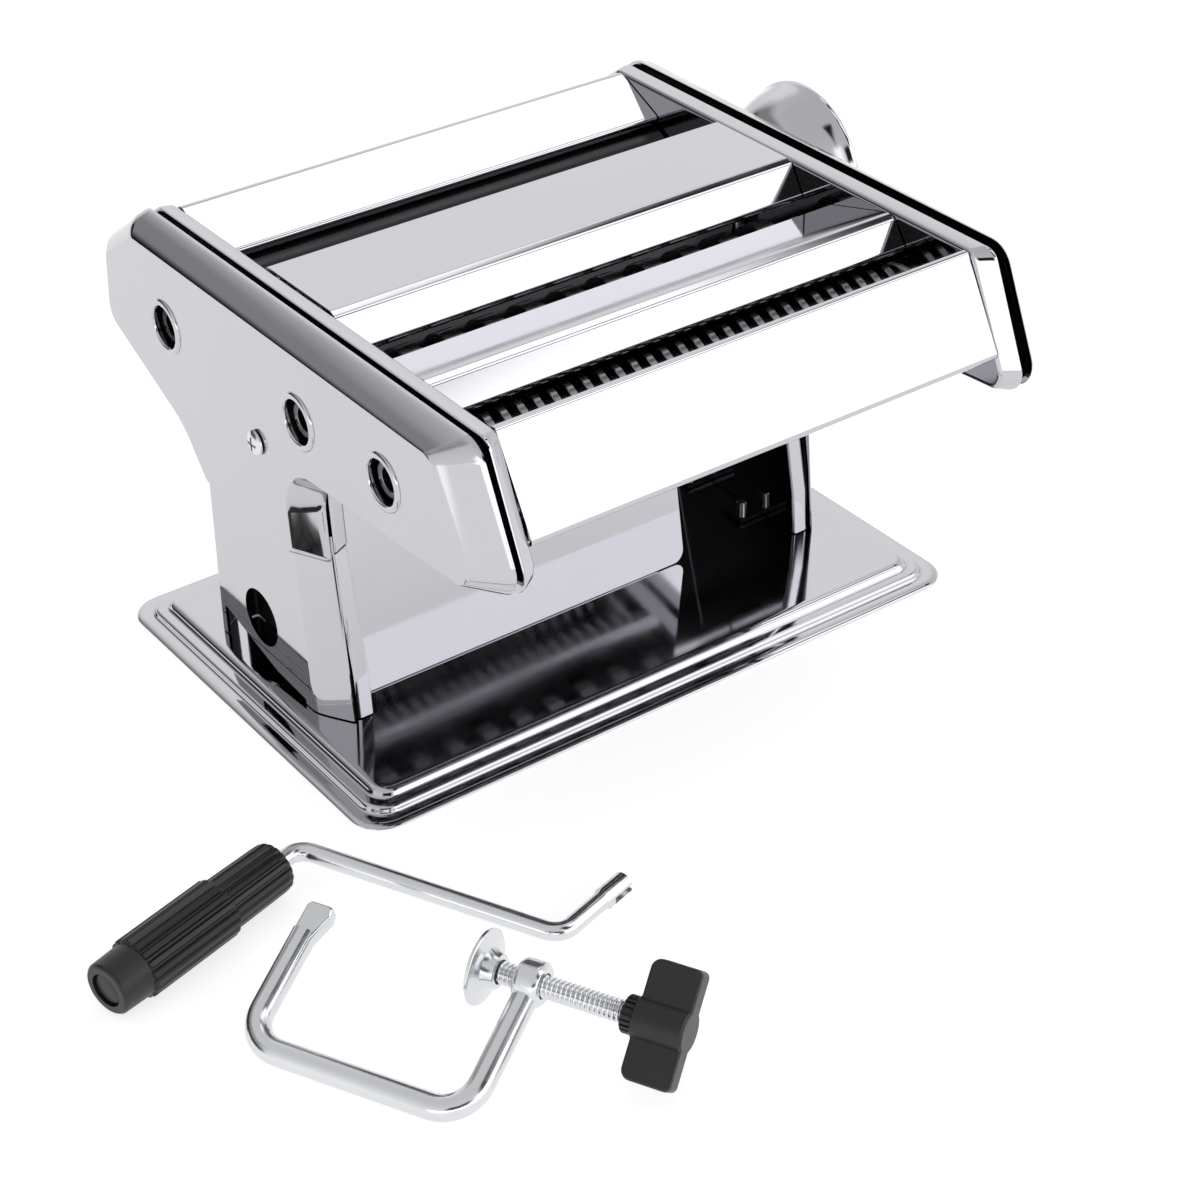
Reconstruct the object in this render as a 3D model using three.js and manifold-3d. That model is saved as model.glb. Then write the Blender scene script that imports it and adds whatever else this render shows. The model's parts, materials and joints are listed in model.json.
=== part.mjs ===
// A hand-cranked pasta roller machine with its crank and table clamp, in millimetres.
// x runs along the rollers towards the thickness dial, y to the back, z up from the table.
import * as THREE from "three";
import { mergeVertices } from "three/addons/utils/BufferGeometryUtils.js";
import Module from "manifold-3d";

const wasm = await Module();
wasm.setup();

// ---- driving dimensions ----
const INNER_HALF = 75; // half the distance between the side frames
const FIT_GAP = 0.3; // between pieces that touch
const RUNNING_GAP = 0.08; // between a shaft and its bearing
const PANEL_HALF = INNER_HALF - FIT_GAP;
const FRAME_SHEET = 1.2;
const FRAME_RIM_X = 80.3; // where the side frames' outward rims end
const COVER_FACE_X = 91;
const COVER_SHEET = 1;
const PANEL_SHEET = 0.9;

// The base plate: a flange with a low step and a raised platform pressed into it.
const BASE = {
  length: 205.2, width: 137.2, corner: 9, low: 0.6, sheet: 1.2, top: 6,
  step: { inset: 4.2, top: 3.8, chamfer: 1.2 },
  platform: { inset: 8.2, chamfer: 1.6 },
};
const LIFT = 2.3; // height of the machine's own datum above the table
const FOOT_Z = BASE.top + 0.4 - LIFT; // lower ends of the legs and the stand walls
const RUBBER_FOOT = { radius: 8, x: 78, y: 44 };
const BASE_SCREW = { x: 70.5, ys: [-8, 18], hole: 1.9, shank: 1.6, head: 3.2 };
const TAB = { reach: 66, halfWidth: 5 }; // the side frames' feet that the base screws hold

// Roller axes as [y, z]; each driving shaft has a crank socket at its left end.
const SMOOTH_DRIVE = [41.8, 100.4];
const SMOOTH_IDLER = [11.3, 100.4];
const DIAL_AXIS = [13.6, 100.4];
const WIDE_DRIVE = [-28.4, 102.5];
const WIDE_DRIVEN = [-47, 102.5];
const NARROW_DRIVE = [-68.8, 104];
const NARROW_DRIVEN = [-87.4, 104];
const SMOOTH_RADIUS = 14;
const IDLER_TRAVEL = 2.1; // the gap closes from 2.5 to 0.4
const CUTTER_RADIUS = 10;
const CUTTER_CORE = 7.2;
const CUTTER_HALF = 73.6;
const WIDE_STRIP = 6.5;
const NARROW_STRIP = 2.5;
const CUTTER_GAP = 0.35; // between a disc and the pair's next disc
const JOURNAL = 5;
const SOCKET_END_X = -89.2;
const SOCKET_RADIUS = 3.2;
const SOCKET_DEPTH = 15;
const CROSS_PIN_X = -81;
const CROSS_PIN_RADIUS = 0.9;
const DRIVE_HOLE = 6.2;
const EYELET = { radius: 8.1, proud: 0.7 };

const DIAL_TURN = THREE.MathUtils.degToRad(270);
const DIAL_SHAFT = 4;
const CAM_RADIUS = 8; // grows by IDLER_TRAVEL over DIAL_TURN
const CAM_X = [77.4, 81];
const KNOB_X = 93;
const KNOB_RADIUS = 26.5;

const CLAMP_HOLE = [9.3, 21.3];
const CLAMP_HOLE_RADIUS = 8.8;
const SCREW_ROD = [-5.2, 85.9]; // the tie rod that the cover screws enter
const SCREW_HOLE = 2.2;
const TIE_RODS = { front: [-58, 87.6], top: [0, 118], stand: [5, 55] };

const CRANK = {
  rod: 2.5, gripRadius: 8.25, gripLength: 59, stub: 8.5, arm: 74, shaft: 26, lean: 75.5,
  bend: 5, fork: { radius: 3, length: 8.5, slot: 1.05 }, collar: 3.8,
  at: [-131.8, -70.8], turn: 15.9, tilt: 4.1,
};
const CLAMP = {
  rod: 3.3, bend: 8, back: 59.5, arm: 37, screw: 2.9, eye: 5.6,
  padAt: 11.5, collarAt: 24.5, knobAt: 28, knobEnd: 41,
  wing: { half: 14.5, thickness: 6, turn: 26 },
  at: [-168.3, -118], turn: -62.5, tilt: 21,
};

// ---- materials ----
const CHROME = { color: 0xd4d6da, roughness: 0.12, metalness: 1 };
const STEEL = { color: 0xb9bcc0, roughness: 0.3, metalness: 1 };
const ZINC = { color: 0xbfc2c4, roughness: 0.28, metalness: 1 };
const BLACK_PLASTIC = { color: 0x141416, roughness: 0.45, metalness: 0 };
const NYLON = { color: 0xe8e6df, roughness: 0.5, metalness: 0 };
const RUBBER = { color: 0x222222, roughness: 0.8, metalness: 0 };

// ---- joining and cutting ----
function solidOf(geometry) {
  const bare = geometry.clone();
  bare.deleteAttribute("normal");
  bare.deleteAttribute("uv");
  const merged = mergeVertices(bare, 1e-4);
  const vertProperties = merged.attributes.position.array;
  return new wasm.Manifold(
    new wasm.Mesh({ numProp: 3, vertProperties, triVerts: new Uint32Array(merged.index.array) }),
  );
}

function geometryOf(solid) {
  const mesh = solid.getMesh();
  const geometry = new THREE.BufferGeometry();
  geometry.setAttribute("position", new THREE.BufferAttribute(mesh.vertProperties, 3));
  geometry.setIndex(new THREE.BufferAttribute(mesh.triVerts, 1));
  geometry.computeVertexNormals();
  return geometry;
}

function join(...pieces) {
  return geometryOf(pieces.map(solidOf).reduce((all, piece) => all.add(piece)));
}

function cut(piece, ...tools) {
  return geometryOf(tools.map(solidOf).reduce((left, tool) => left.subtract(tool), solidOf(piece)));
}

// ---- basic shapes ----
const ARC_STEPS = 3; // straight steps in each rounded corner

const SIDE_VIEW = new THREE.Matrix4().makeBasis(
  new THREE.Vector3(0, 1, 0), new THREE.Vector3(0, 0, 1), new THREE.Vector3(1, 0, 0),
);

function block([x0, x1], [y0, y1], [z0, z1]) {
  const geometry = new THREE.BoxGeometry(x1 - x0, y1 - y0, z1 - z0);
  return geometry.translate((x0 + x1) / 2, (y0 + y1) / 2, (z0 + z1) / 2);
}

// A cylinder along x around the axis [y, z].
function rod(radius, [x0, x1], [y, z], sides = 16) {
  const geometry = new THREE.CylinderGeometry(radius, radius, x1 - x0, sides);
  return geometry.rotateZ(-Math.PI / 2).translate((x0 + x1) / 2, y, z);
}

// A cylinder along z.
function post(radius, [z0, z1], x, y, sides = 16) {
  const geometry = new THREE.CylinderGeometry(radius, radius, z1 - z0, sides);
  return geometry.rotateX(Math.PI / 2).translate(x, y, (z0 + z1) / 2);
}

// A profile of [x, radius] points turned around the x axis; it ends on the axis or closes on itself.
function turned(profile, sides, [y, z] = [0, 0]) {
  const points = profile.map(([x, radius]) => new THREE.Vector2(radius, x));
  return new THREE.LatheGeometry(points, sides).rotateZ(-Math.PI / 2).translate(0, y, z);
}

// A closed outline through corners [u, v, radius], with each corner rounded.
function outline(corners) {
  const shape = new THREE.Shape();
  const point = ([u, v]) => new THREE.Vector2(u, v);
  corners.forEach((corner, i) => {
    const here = point(corner);
    const back = point(corners.at(i - 1)).sub(here).normalize();
    const ahead = point(corners[(i + 1) % corners.length]).sub(here).normalize();
    const radius = corner[2] ?? 0;
    const reach = radius / Math.tan(back.angleTo(ahead) / 2);
    const start = here.clone().addScaledVector(back, reach);
    const end = here.clone().addScaledVector(ahead, reach);
    if (i === 0) shape.moveTo(start.x, start.y);
    else shape.lineTo(start.x, start.y);
    if (radius > 0) shape.quadraticCurveTo(here.x, here.y, end.x, end.y);
  });
  return shape;
}

// The same outline moved outwards by a distance, or inwards by a negative one.
function grown(shape, distance) {
  const points = shape.extractPoints(ARC_STEPS).shape;
  const turn = THREE.ShapeUtils.isClockWise(points) ? -1 : 1;
  const unit = (from, to) => to.clone().sub(from).normalize();
  return new THREE.Shape(points.map((here, i) => {
    const before = unit(points.at(i - 1), here);
    const after = unit(here, points[(i + 1) % points.length]);
    const along = before.clone().add(after).normalize();
    const reach = (turn * distance) / along.dot(after);
    return new THREE.Vector2(along.y, -along.x).multiplyScalar(reach).add(here);
  }));
}

// A side-view outline (y, z) swept along x.
function alongX(shape, [x0, x1]) {
  const settings = { depth: x1 - x0, bevelEnabled: false, curveSegments: ARC_STEPS };
  return new THREE.ExtrudeGeometry(shape, settings).applyMatrix4(SIDE_VIEW).translate(x0, 0, 0);
}

// A bent sheet: a polyline of [y, z] points given a thickness, swept between the side frames.
function bentSheet(points, thickness = PANEL_SHEET, half = PANEL_HALF) {
  const path = points.map(([y, z]) => new THREE.Vector2(y, z));
  const side = (sign) => path.map((here, i) => {
    const before = here.clone().sub(path[i - 1] ?? here).normalize();
    const after = (path[i + 1] ?? here).clone().sub(here).normalize();
    const along = before.clone().add(after).normalize();
    const one = before.length() ? before : after;
    const miter = thickness / 2 / Math.abs(along.dot(one));
    return new THREE.Vector2(-along.y, along.x).multiplyScalar(sign * miter).add(here);
  });
  return alongX(new THREE.Shape([...side(1), ...side(-1).reverse()]), [-half, half]);
}

// A round bar bent along straight runs, with each corner a short chain of straight steps.
function bentBar(corners, radius, bend, sides = 10) {
  const path = new THREE.CurvePath();
  let from = corners[0];
  corners.slice(1, -1).forEach((corner, i) => {
    const back = corners[i].clone().sub(corner).normalize();
    const ahead = corners[i + 2].clone().sub(corner).normalize();
    const start = corner.clone().addScaledVector(back, bend);
    const end = corner.clone().addScaledVector(ahead, bend);
    path.add(new THREE.LineCurve3(from, start));
    path.add(new THREE.QuadraticBezierCurve3(start, corner, end));
    from = end;
  });
  path.add(new THREE.LineCurve3(from, corners.at(-1)));
  const section = new THREE.Shape();
  section.absarc(0, 0, radius, 0, 2 * Math.PI);
  const spans = path.getCurveLengths();
  const steps = Math.ceil(spans.at(-1) / (2.2 * radius));
  const settings = { extrudePath: path, steps, curveSegments: sides / 2, bevelEnabled: false };
  return new THREE.ExtrudeGeometry(section, settings);
}

// ---- the assembly ----
const kit = new THREE.Group();
const machine = new THREE.Group();
machine.position.z = LIFT;
kit.add(machine);

function add(name, geometry, finish, parent = machine) {
  const mesh = new THREE.Mesh(geometry, new THREE.MeshStandardMaterial(finish));
  mesh.name = name;
  parent.add(mesh);
  return mesh;
}

// ---- base ----
function baseLayer(inset, z0, z1, chamfer) {
  const x = BASE.length / 2 - inset - chamfer;
  const y = BASE.width / 2 - inset - chamfer;
  const r = BASE.corner - inset / 2;
  const shape = outline([[-x, -y, r], [x, -y, r], [x, y, r], [-x, y, r]]);
  const bevel = { bevelThickness: chamfer, bevelSize: chamfer, bevelSegments: 1 };
  const depth = z1 - z0 - chamfer;
  const settings = { depth, bevelEnabled: chamfer > 0, curveSegments: 4, ...bevel };
  return new THREE.ExtrudeGeometry(shape, settings).translate(0, 0, z0);
}

const SCREW_PLACES = [-BASE_SCREW.x, BASE_SCREW.x].flatMap((x) => BASE_SCREW.ys.map((y) => [x, y]));

function basePlate() {
  const { low, sheet, top, step, platform } = BASE;
  const raised = ({ inset, chamfer }, height) => baseLayer(inset, low, height, chamfer);
  const hollow = ({ inset, chamfer }, height) =>
    baseLayer(inset + sheet, low - 1, height - sheet, chamfer);
  const body = join(baseLayer(0, low, low + sheet, 0), raised(step, step.top), raised(platform, top));
  const below = block([-BASE.length, BASE.length], [-BASE.width, BASE.width], [low - 10, low]);
  const holes = SCREW_PLACES.map(([x, y]) => post(BASE_SCREW.hole, [0, top + 1], x, y, 10));
  return cut(body, below, hollow(step, step.top), hollow(platform, top), ...holes);
}

const UNDER_PLATFORM = BASE.top - BASE.sheet - FIT_GAP;

function baseScrew(x, y) {
  const head = post(BASE_SCREW.head, [UNDER_PLATFORM - 2, UNDER_PLATFORM], x, y, 10);
  return join(head, post(BASE_SCREW.shank, [UNDER_PLATFORM - 0.1, BASE.top + 4.4], x, y, 10));
}

add("base_plate", basePlate(), CHROME, kit);
[[-1, -1], [1, -1], [-1, 1], [1, 1]].forEach(([right, back], i) => {
  const foot = post(RUBBER_FOOT.radius, [0, UNDER_PLATFORM], right * RUBBER_FOOT.x, back * RUBBER_FOOT.y);
  add(`rubber_foot_${i + 1}`, foot, RUBBER, kit);
});
SCREW_PLACES.forEach(([x, y], i) => add(`base_screw_${i + 1}`, baseScrew(x, y), ZINC, kit));

// ---- side frames and covers ----
// Outlines from the top back corner round to the top front, on the flat face and at the rim's edge.
const COVER_BODY = {
  face: outline([
    [57.5, 121.3, 4], [74.5, 110, 3], [76.8, 90, 6], [38.5, 72, 24], [27.5, 58.4, 2], [-18, 57.6, 2],
    [-16.5, 85.8, 16], [-106.6, 91.2, 4], [-90.5, 121.4, 4],
  ]),
  rim: outline([
    [60.5, 126.8, 4], [79.5, 113.5, 3], [80.3, 88, 6], [41, 69.2, 22], [31, 55, 2], [-22.5, 54.2, 2],
    [-20.8, 82.4, 12], [-117, 89.8, 6], [-100.8, 126.8, 6],
  ]),
  profile: [[COVER_FACE_X, 0], [89.3, 0.5], [86.8, 0.85], [83.7, 1]],
};
// The leg runs up behind the body and round the corner in front of it.
const COVER_LEG = {
  face: outline([
    [32, 100], [34, 0], [-16.6, 0], [-13.4, 57], [-14, 88, 16], [-50, 93], [-50, 100],
  ]),
  rim: outline([
    [37.6, 100], [39.6, 0], [-29, 0], [-23.9, 57], [-21.8, 82, 10], [-50, 87], [-50, 100],
  ]),
  profile: [[88, 0], [87.2, 0.2], [82.4, 0.95], [81.6, 1]],
};
const FRAME_BODY = {
  face: outline([
    [60, 125.6, 4], [78.6, 112.6, 4], [79.2, 88, 6], [41, 69.6, 22], [30.5, 56, 2], [-21, 55, 2],
    [-19.8, 83, 12], [-112.8, 89.8, 5], [-96.8, 125.6, 4],
  ]),
  rim: outline([
    [60.5, 126.4, 5], [79.5, 113, 4], [80.2, 88, 6], [41, 69, 22], [31.5, 54.6, 2], [-22.5, 53.8, 2],
    [-21, 81.8, 11], [-116.5, 88.5, 6], [-100.3, 126.4, 5],
  ]),
  profile: [[INNER_HALF, 0], [FRAME_RIM_X, 1]],
};
const FRAME_LEG_SHAPE = outline([
  [36, 64], [36, 0], [-28, 0], [-26.9, 17.5], [-20.5, 54], [-20.5, 84],
]);
const FRAME_LEG = { face: FRAME_LEG_SHAPE, rim: FRAME_LEG_SHAPE, profile: FRAME_BODY.profile };
const BELOW_FOOT = block([-120, 120], [-150, 150], [-20, FOOT_Z]);

// A solid through side-view outlines given as [x, points], x rising, equally many points in each.
function loft(sections) {
  const count = sections[0][1].length;
  const vertices = sections.flatMap(([x, points]) => points.flatMap((p) => [x, p.x, p.y]));
  const faces = [];
  for (let from = 0; from < (sections.length - 1) * count; from += count) {
    for (let i = 0; i < count; i += 1) {
      const [a, b] = [from + i, from + ((i + 1) % count)];
      faces.push([a, b, b + count], [a, b + count, a + count]);
    }
  }
  const last = (sections.length - 1) * count;
  const lid = (points) => THREE.ShapeUtils.triangulateShape(points, []);
  lid(sections[0][1]).forEach(([a, b, c]) => faces.push([c, b, a]));
  lid(sections.at(-1)[1]).forEach(([a, b, c]) => faces.push([last + a, last + b, last + c]));
  const geometry = new THREE.BufferGeometry();
  geometry.setAttribute("position", new THREE.Float32BufferAttribute(vertices, 3));
  return geometry.setIndex(faces.flat());
}

// A drafted pressing on the left (-1) or right (+1): its outline goes from `face` to `rim` by the
// shares given in `profile`. An inset one is the room inside a sheet of that thickness.
function pressing(side, { face, rim, profile }, inset = 0) {
  const pointsOf = (shape) => grown(shape, -inset).extractPoints(ARC_STEPS).shape;
  const [from, to] = [face, rim].map(pointsOf);
  const shift = inset * Math.sign(profile.at(-1)[0] - profile[0][0]);
  const open = inset > 0 ? [[profile.at(-1)[0] + 5 * shift, profile.at(-1)[1]]] : [];
  const sections = [...profile.map(([x, share]) => [x + shift, share]), ...open].map(([x, share]) => {
    const points = from.map((p, i) => p.clone().lerp(to[i], share));
    return [side * x, THREE.ShapeUtils.isClockWise(points) ? points.reverse() : points];
  });
  return loft(sections.sort(([a], [b]) => a - b));
}

// The arched notch in a leg's lower edge.
const LEG_ARCH = outline([[-12.5, 0], [-12.5, 5.5, 0.6], [3, 6.6, 8], [31.5, 14.2, 1], [31.5, 0]]);

// A span of x from a to b on the right, or its mirror image on the left.
function spanOn(side, a, b) {
  return side < 0 ? [-b, -a] : [a, b];
}

function sideCover(side) {
  const through = spanOn(side, INNER_HALF - 5, COVER_FACE_X + 4);
  const shell = cut(
    join(pressing(side, COVER_BODY), pressing(side, COVER_LEG)),
    pressing(side, COVER_BODY, COVER_SHEET),
    pressing(side, COVER_LEG, COVER_SHEET),
    BELOW_FOOT,
    alongX(LEG_ARCH, through),
    rod(SCREW_HOLE, through, SCREW_ROD, 12),
  );
  if (side > 0) return cut(shell, rod(DIAL_SHAFT + 3, through, DIAL_AXIS, 20));
  const driveAxes = [SMOOTH_DRIVE, WIDE_DRIVE, NARROW_DRIVE];
  const faceSpan = [-COVER_FACE_X - EYELET.proud, -COVER_FACE_X + COVER_SHEET];
  const eyelets = driveAxes.map((axis) => rod(EYELET.radius, faceSpan, axis, 20));
  const holes = driveAxes.map((axis) => rod(DRIVE_HOLE, through, axis, 20));
  return cut(join(shell, ...eyelets), ...holes, rod(CLAMP_HOLE_RADIUS, through, CLAMP_HOLE, 20));
}

// A pair of bearing holes in one rounded slot from one axis to the other.
function doubleSlot(radius, span, [y0, z0], [y1]) {
  const shape = outline([
    [y0 + radius, z0 - radius, radius], [y0 + radius, z0 + radius, radius],
    [y1 - radius, z0 + radius, radius], [y1 - radius, z0 - radius, radius],
  ]);
  return alongX(shape, span);
}

const BEARING_BLOCK = 7; // half the height of a cutter pair's bearing block
const BUSH_RADIUS = 6.5;
const CAM_FOLLOWER_Y = DIAL_AXIS[0] + CAM_RADIUS + 0.1;
const CAM_FOLLOWER_DEPTH = 3.4;

function sideFrame(side) {
  const through = spanOn(side, INNER_HALF - 15, COVER_FACE_X);
  const outer = join(pressing(side, FRAME_BODY), pressing(side, FRAME_LEG));
  const hollow = join(pressing(side, FRAME_BODY, FRAME_SHEET), pressing(side, FRAME_LEG, FRAME_SHEET));
  const places = SCREW_PLACES.filter(([x]) => x * side > 0);
  const tabs = places.map(([, y]) => block(
    spanOn(side, TAB.reach, INNER_HALF + FRAME_SHEET),
    [y - TAB.halfWidth, y + TAB.halfWidth], [FOOT_Z, FOOT_Z + FRAME_SHEET],
  ));
  const holes = [
    rod(SCREW_HOLE, through, SCREW_ROD, 12),
    rod(BUSH_RADIUS + 0.15, through, SMOOTH_DRIVE, 16),
    doubleSlot(BEARING_BLOCK + 0.1, through, WIDE_DRIVE, WIDE_DRIVEN),
    doubleSlot(BEARING_BLOCK + 0.1, through, NARROW_DRIVE, NARROW_DRIVEN),
    ...Object.values(TIE_RODS).map((axis) => rod(SCREW_HOLE, through, axis, 10)),
    ...places.map(([x, y]) => post(BASE_SCREW.hole, [0, FOOT_Z + 5], x, y, 10)),
  ];
  if (side < 0) {
    const closed = [SMOOTH_IDLER[0] + IDLER_TRAVEL, SMOOTH_IDLER[1]];
    holes.push(doubleSlot(JOURNAL + 0.5, through, closed, SMOOTH_IDLER));
    holes.push(rod(CLAMP_HOLE_RADIUS + 0.4, through, CLAMP_HOLE, 20));
  } else {
    const front = CAM_FOLLOWER_Y - 0.5;
    const back = CAM_FOLLOWER_Y + CAM_FOLLOWER_DEPTH + IDLER_TRAVEL + 0.5;
    holes.push(block(through, [front, back], [DIAL_AXIS[1] - 4.5, DIAL_AXIS[1] + 4.5]));
  }
  return cut(join(cut(outer, hollow, BELOW_FOOT), ...tabs), ...holes);
}

add("side_frame_left", sideFrame(-1), CHROME);
add("side_frame_right", sideFrame(1), CHROME);
add("side_cover_left", sideCover(-1), CHROME);
add("side_cover_right", sideCover(1), CHROME);

// ---- panels between the side frames ----
const STAND_OPENING_X = 40; // where the stand's front wall ends, short of the right leg

function standFrontWall() {
  const wall = bentSheet([[-18, FOOT_Z], [-7.5, 79], [-11.5, 82]]);
  const [left, below, above] = [STAND_OPENING_X - 10, FOOT_Z - 1, 90];
  const opening = new THREE.ExtrudeGeometry(outline([
    [PANEL_HALF + 1, above], [STAND_OPENING_X, above], [STAND_OPENING_X, FOOT_Z - 0.1, 4],
    [left, FOOT_Z - 0.1], [left, below], [PANEL_HALF + 1, below],
  ]), { depth: 30, bevelEnabled: false, curveSegments: ARC_STEPS });
  return cut(wall, opening.rotateX(Math.PI / 2));
}

add("rear_hopper_panel", bentSheet([
  [37.8, 114.6], [39.2, 117.1], [57.4, 125.2], [59.6, 124.4], [63, 87], [61, 84.6],
]), CHROME);
add("centre_cover", bentSheet([
  [12, 119.6], [11.2, 125.3], [-20.8, 125.3], [-22.7, 124.4], [-27.6, 116.3], [-28, 114.3],
]), CHROME);
add("divider_cover", bentSheet([
  [-38.8, 115.4], [-40.2, 117.9], [-64, 124.4], [-66.2, 123.6], [-70.9, 117], [-71.2, 115.4],
]), CHROME);
add("front_panel", bentSheet([
  [-91.6, 119.4], [-93.4, 124.8], [-95, 124.9], [-96, 123], [-108.6, 99.9], [-107, 98.6],
]), CHROME);
add("stand_front_wall", standFrontWall(), CHROME);
add("stand_rear_wall", bentSheet([[33, FOOT_Z], [14, 76], [10, 78]]), CHROME);

// ---- tie rods and cover screws ----
function rivetedRod(axis) {
  const end = INNER_HALF + FRAME_SHEET + 1.4;
  return join(rod(3, [-PANEL_HALF, PANEL_HALF], axis, 12), rod(2, [-end, end], axis, 12));
}

function screwRod() {
  const bores = [-1, 1].map((side) => rod(1.9, spanOn(side, 62, INNER_HALF), SCREW_ROD, 12));
  return cut(rod(3.6, [-PANEL_HALF, PANEL_HALF], SCREW_ROD, 12), ...bores);
}

function coverScrew(side) {
  const head = turned([[0, 0], [0, 3.6], [0.8, 3.4], [1.5, 2.2], [1.7, 0]], 14);
  if (side < 0) head.rotateY(Math.PI);
  head.translate(side * (COVER_FACE_X + FIT_GAP), ...SCREW_ROD);
  const [y, z] = SCREW_ROD;
  const slots = [[2.2, 0.45], [0.45, 2.2]].map(([dy, dz]) => block(
    spanOn(side, COVER_FACE_X + 1.2, COVER_FACE_X + 3), [y - dy, y + dy], [z - dz, z + dz],
  ));
  const shank = rod(1.6, spanOn(side, 64, COVER_FACE_X + 0.6), SCREW_ROD, 10);
  return cut(join(head, shank), ...slots);
}

add("tie_rod_centre", screwRod(), ZINC);
for (const [place, axis] of Object.entries(TIE_RODS)) {
  add(`tie_rod_${place}`, rivetedRod(axis), ZINC);
}
add("cover_screw_left", coverScrew(-1), ZINC);
add("cover_screw_right", coverScrew(1), ZINC);

// ---- rollers and cutters ----
// Cuts the crank socket into a shaft's left end and leaves its cross pin.
function withSocket(shaft, axis) {
  const socket = rod(SOCKET_RADIUS, [SOCKET_END_X - 1, SOCKET_END_X + SOCKET_DEPTH], axis, 14);
  const reach = JOURNAL - 0.4;
  const pin = post(CROSS_PIN_RADIUS, [axis[1] - reach, axis[1] + reach], CROSS_PIN_X, axis[0], 8);
  return join(cut(shaft, socket), pin);
}

function smoothRoller(half, left, right, axis) {
  return turned([
    [left, 0], [left, JOURNAL], [-half, JOURNAL], [-half, SMOOTH_RADIUS], [half, SMOOTH_RADIUS],
    [half, JOURNAL], [right, JOURNAL], [right, 0],
  ], 32, axis);
}

// A shaft with a row of cutting discs one strip wide; `first` is the left face of the first disc.
function cutterRoller(strip, first, left, right, axis, sides) {
  const disc = strip - CUTTER_GAP;
  const profile = [[left, 0], [left, JOURNAL], [-CUTTER_HALF, JOURNAL], [-CUTTER_HALF, CUTTER_CORE]];
  for (let x = first; x + disc < CUTTER_HALF; x += 2 * strip) {
    profile.push([x, CUTTER_CORE], [x, CUTTER_RADIUS]);
    profile.push([x + disc, CUTTER_RADIUS], [x + disc, CUTTER_CORE]);
  }
  profile.push([CUTTER_HALF, CUTTER_CORE], [CUTTER_HALF, JOURNAL], [right, JOURNAL], [right, 0]);
  return turned(profile, sides, axis);
}

// A gear around [0, 0] in the side view, turned by `phase` teeth.
function gearOutline(teeth, tip, root, tipShare, rootShare, phase) {
  const pitch = (2 * Math.PI) / teeth;
  const points = [];
  for (let i = 0; i < teeth; i += 1) {
    const at = (share, radius) => {
      const angle = (i + phase + share) * pitch;
      return new THREE.Vector2(radius * Math.cos(angle), radius * Math.sin(angle));
    };
    points.push(at(-rootShare, root), at(-tipShare, tip), at(tipShare, tip), at(rootShare, root));
  }
  return new THREE.Shape(points);
}

function gear(span, axis, shape) {
  const wheel = alongX(shape, span).translate(0, ...axis);
  const bore = (JOURNAL + 0.05) / Math.cos(Math.PI / 16);
  return cut(wheel, rod(bore, [span[0] - 1, span[1] + 1], axis, 16));
}

const SMOOTH_GEAR = { teeth: 14, tip: 16.1, root: 11.9, tipShare: 0.085, rootShare: 0.2 };
const CUTTER_GEAR = { teeth: 12, tip: 10.2, root: 8.1, tipShare: 0.1, rootShare: 0.2 };
const SMOOTH_GEAR_X = [-85.5, -79.5];
const CUTTER_GEAR_X = [79.5, 85.5];

function gearOf({ teeth, tip, root, tipShare, rootShare }, phase, span, axis) {
  return gear(span, axis, gearOutline(teeth, tip, root, tipShare, rootShare, phase));
}

const SHAFT_END_X = 77.8; // just past the bearings
const GEARED_END_X = 86.2; // just past the gears
const smoothDriveShaft = smoothRoller(74.2, SOCKET_END_X, SHAFT_END_X, SMOOTH_DRIVE);
add("smooth_drive_roller", withSocket(smoothDriveShaft, SMOOTH_DRIVE), STEEL);
add("smooth_idler_roller", smoothRoller(70.2, -GEARED_END_X, 74.2, SMOOTH_IDLER), STEEL);
add("smooth_drive_gear", gearOf(SMOOTH_GEAR, 0, SMOOTH_GEAR_X, SMOOTH_DRIVE), ZINC);
add("smooth_idler_gear", gearOf(SMOOTH_GEAR, 0.5, SMOOTH_GEAR_X, SMOOTH_IDLER), ZINC);

const FIRST_DISC_X = -CUTTER_HALF + 0.4;

function cutterPair(name, strip, drive, driven, sides) {
  const driveShaft = cutterRoller(strip, FIRST_DISC_X, SOCKET_END_X, GEARED_END_X, drive, sides);
  add(`${name}_drive_cutter`, withSocket(driveShaft, drive), STEEL);
  const second = FIRST_DISC_X + strip;
  add(`${name}_driven_cutter`, cutterRoller(strip, second, -SHAFT_END_X, GEARED_END_X, driven, sides), STEEL);
  add(`${name}_drive_gear`, gearOf(CUTTER_GEAR, 0.5, CUTTER_GEAR_X, drive), ZINC);
  add(`${name}_driven_gear`, gearOf(CUTTER_GEAR, 0, CUTTER_GEAR_X, driven), ZINC);
}

cutterPair("wide", WIDE_STRIP, WIDE_DRIVE, WIDE_DRIVEN, 10);
cutterPair("narrow", NARROW_STRIP, NARROW_DRIVE, NARROW_DRIVEN, 8);

// ---- bearings ----
const BEARING_SIDES = 16;
const BORE = (JOURNAL + RUNNING_GAP) / Math.cos(Math.PI / BEARING_SIDES);

const BEARING_X = [74.1, 77.4];

function bush(side, axis) {
  const [x0, x1] = spanOn(side, BEARING_X[0] + FIT_GAP, BEARING_X[1] + FIT_GAP);
  const profile = [[x0, BORE], [x0, BUSH_RADIUS], [x1, BUSH_RADIUS], [x1, BORE], [x0, BORE]];
  return turned(profile, BEARING_SIDES, axis);
}

function bearingBlock(side, drive, driven) {
  const span = spanOn(side, ...BEARING_X);
  const through = [span[0] - 1, span[1] + 1];
  const bores = [drive, driven].map((axis) => rod(BORE, through, axis, BEARING_SIDES));
  return cut(doubleSlot(BEARING_BLOCK, span, drive, driven), ...bores);
}

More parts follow.
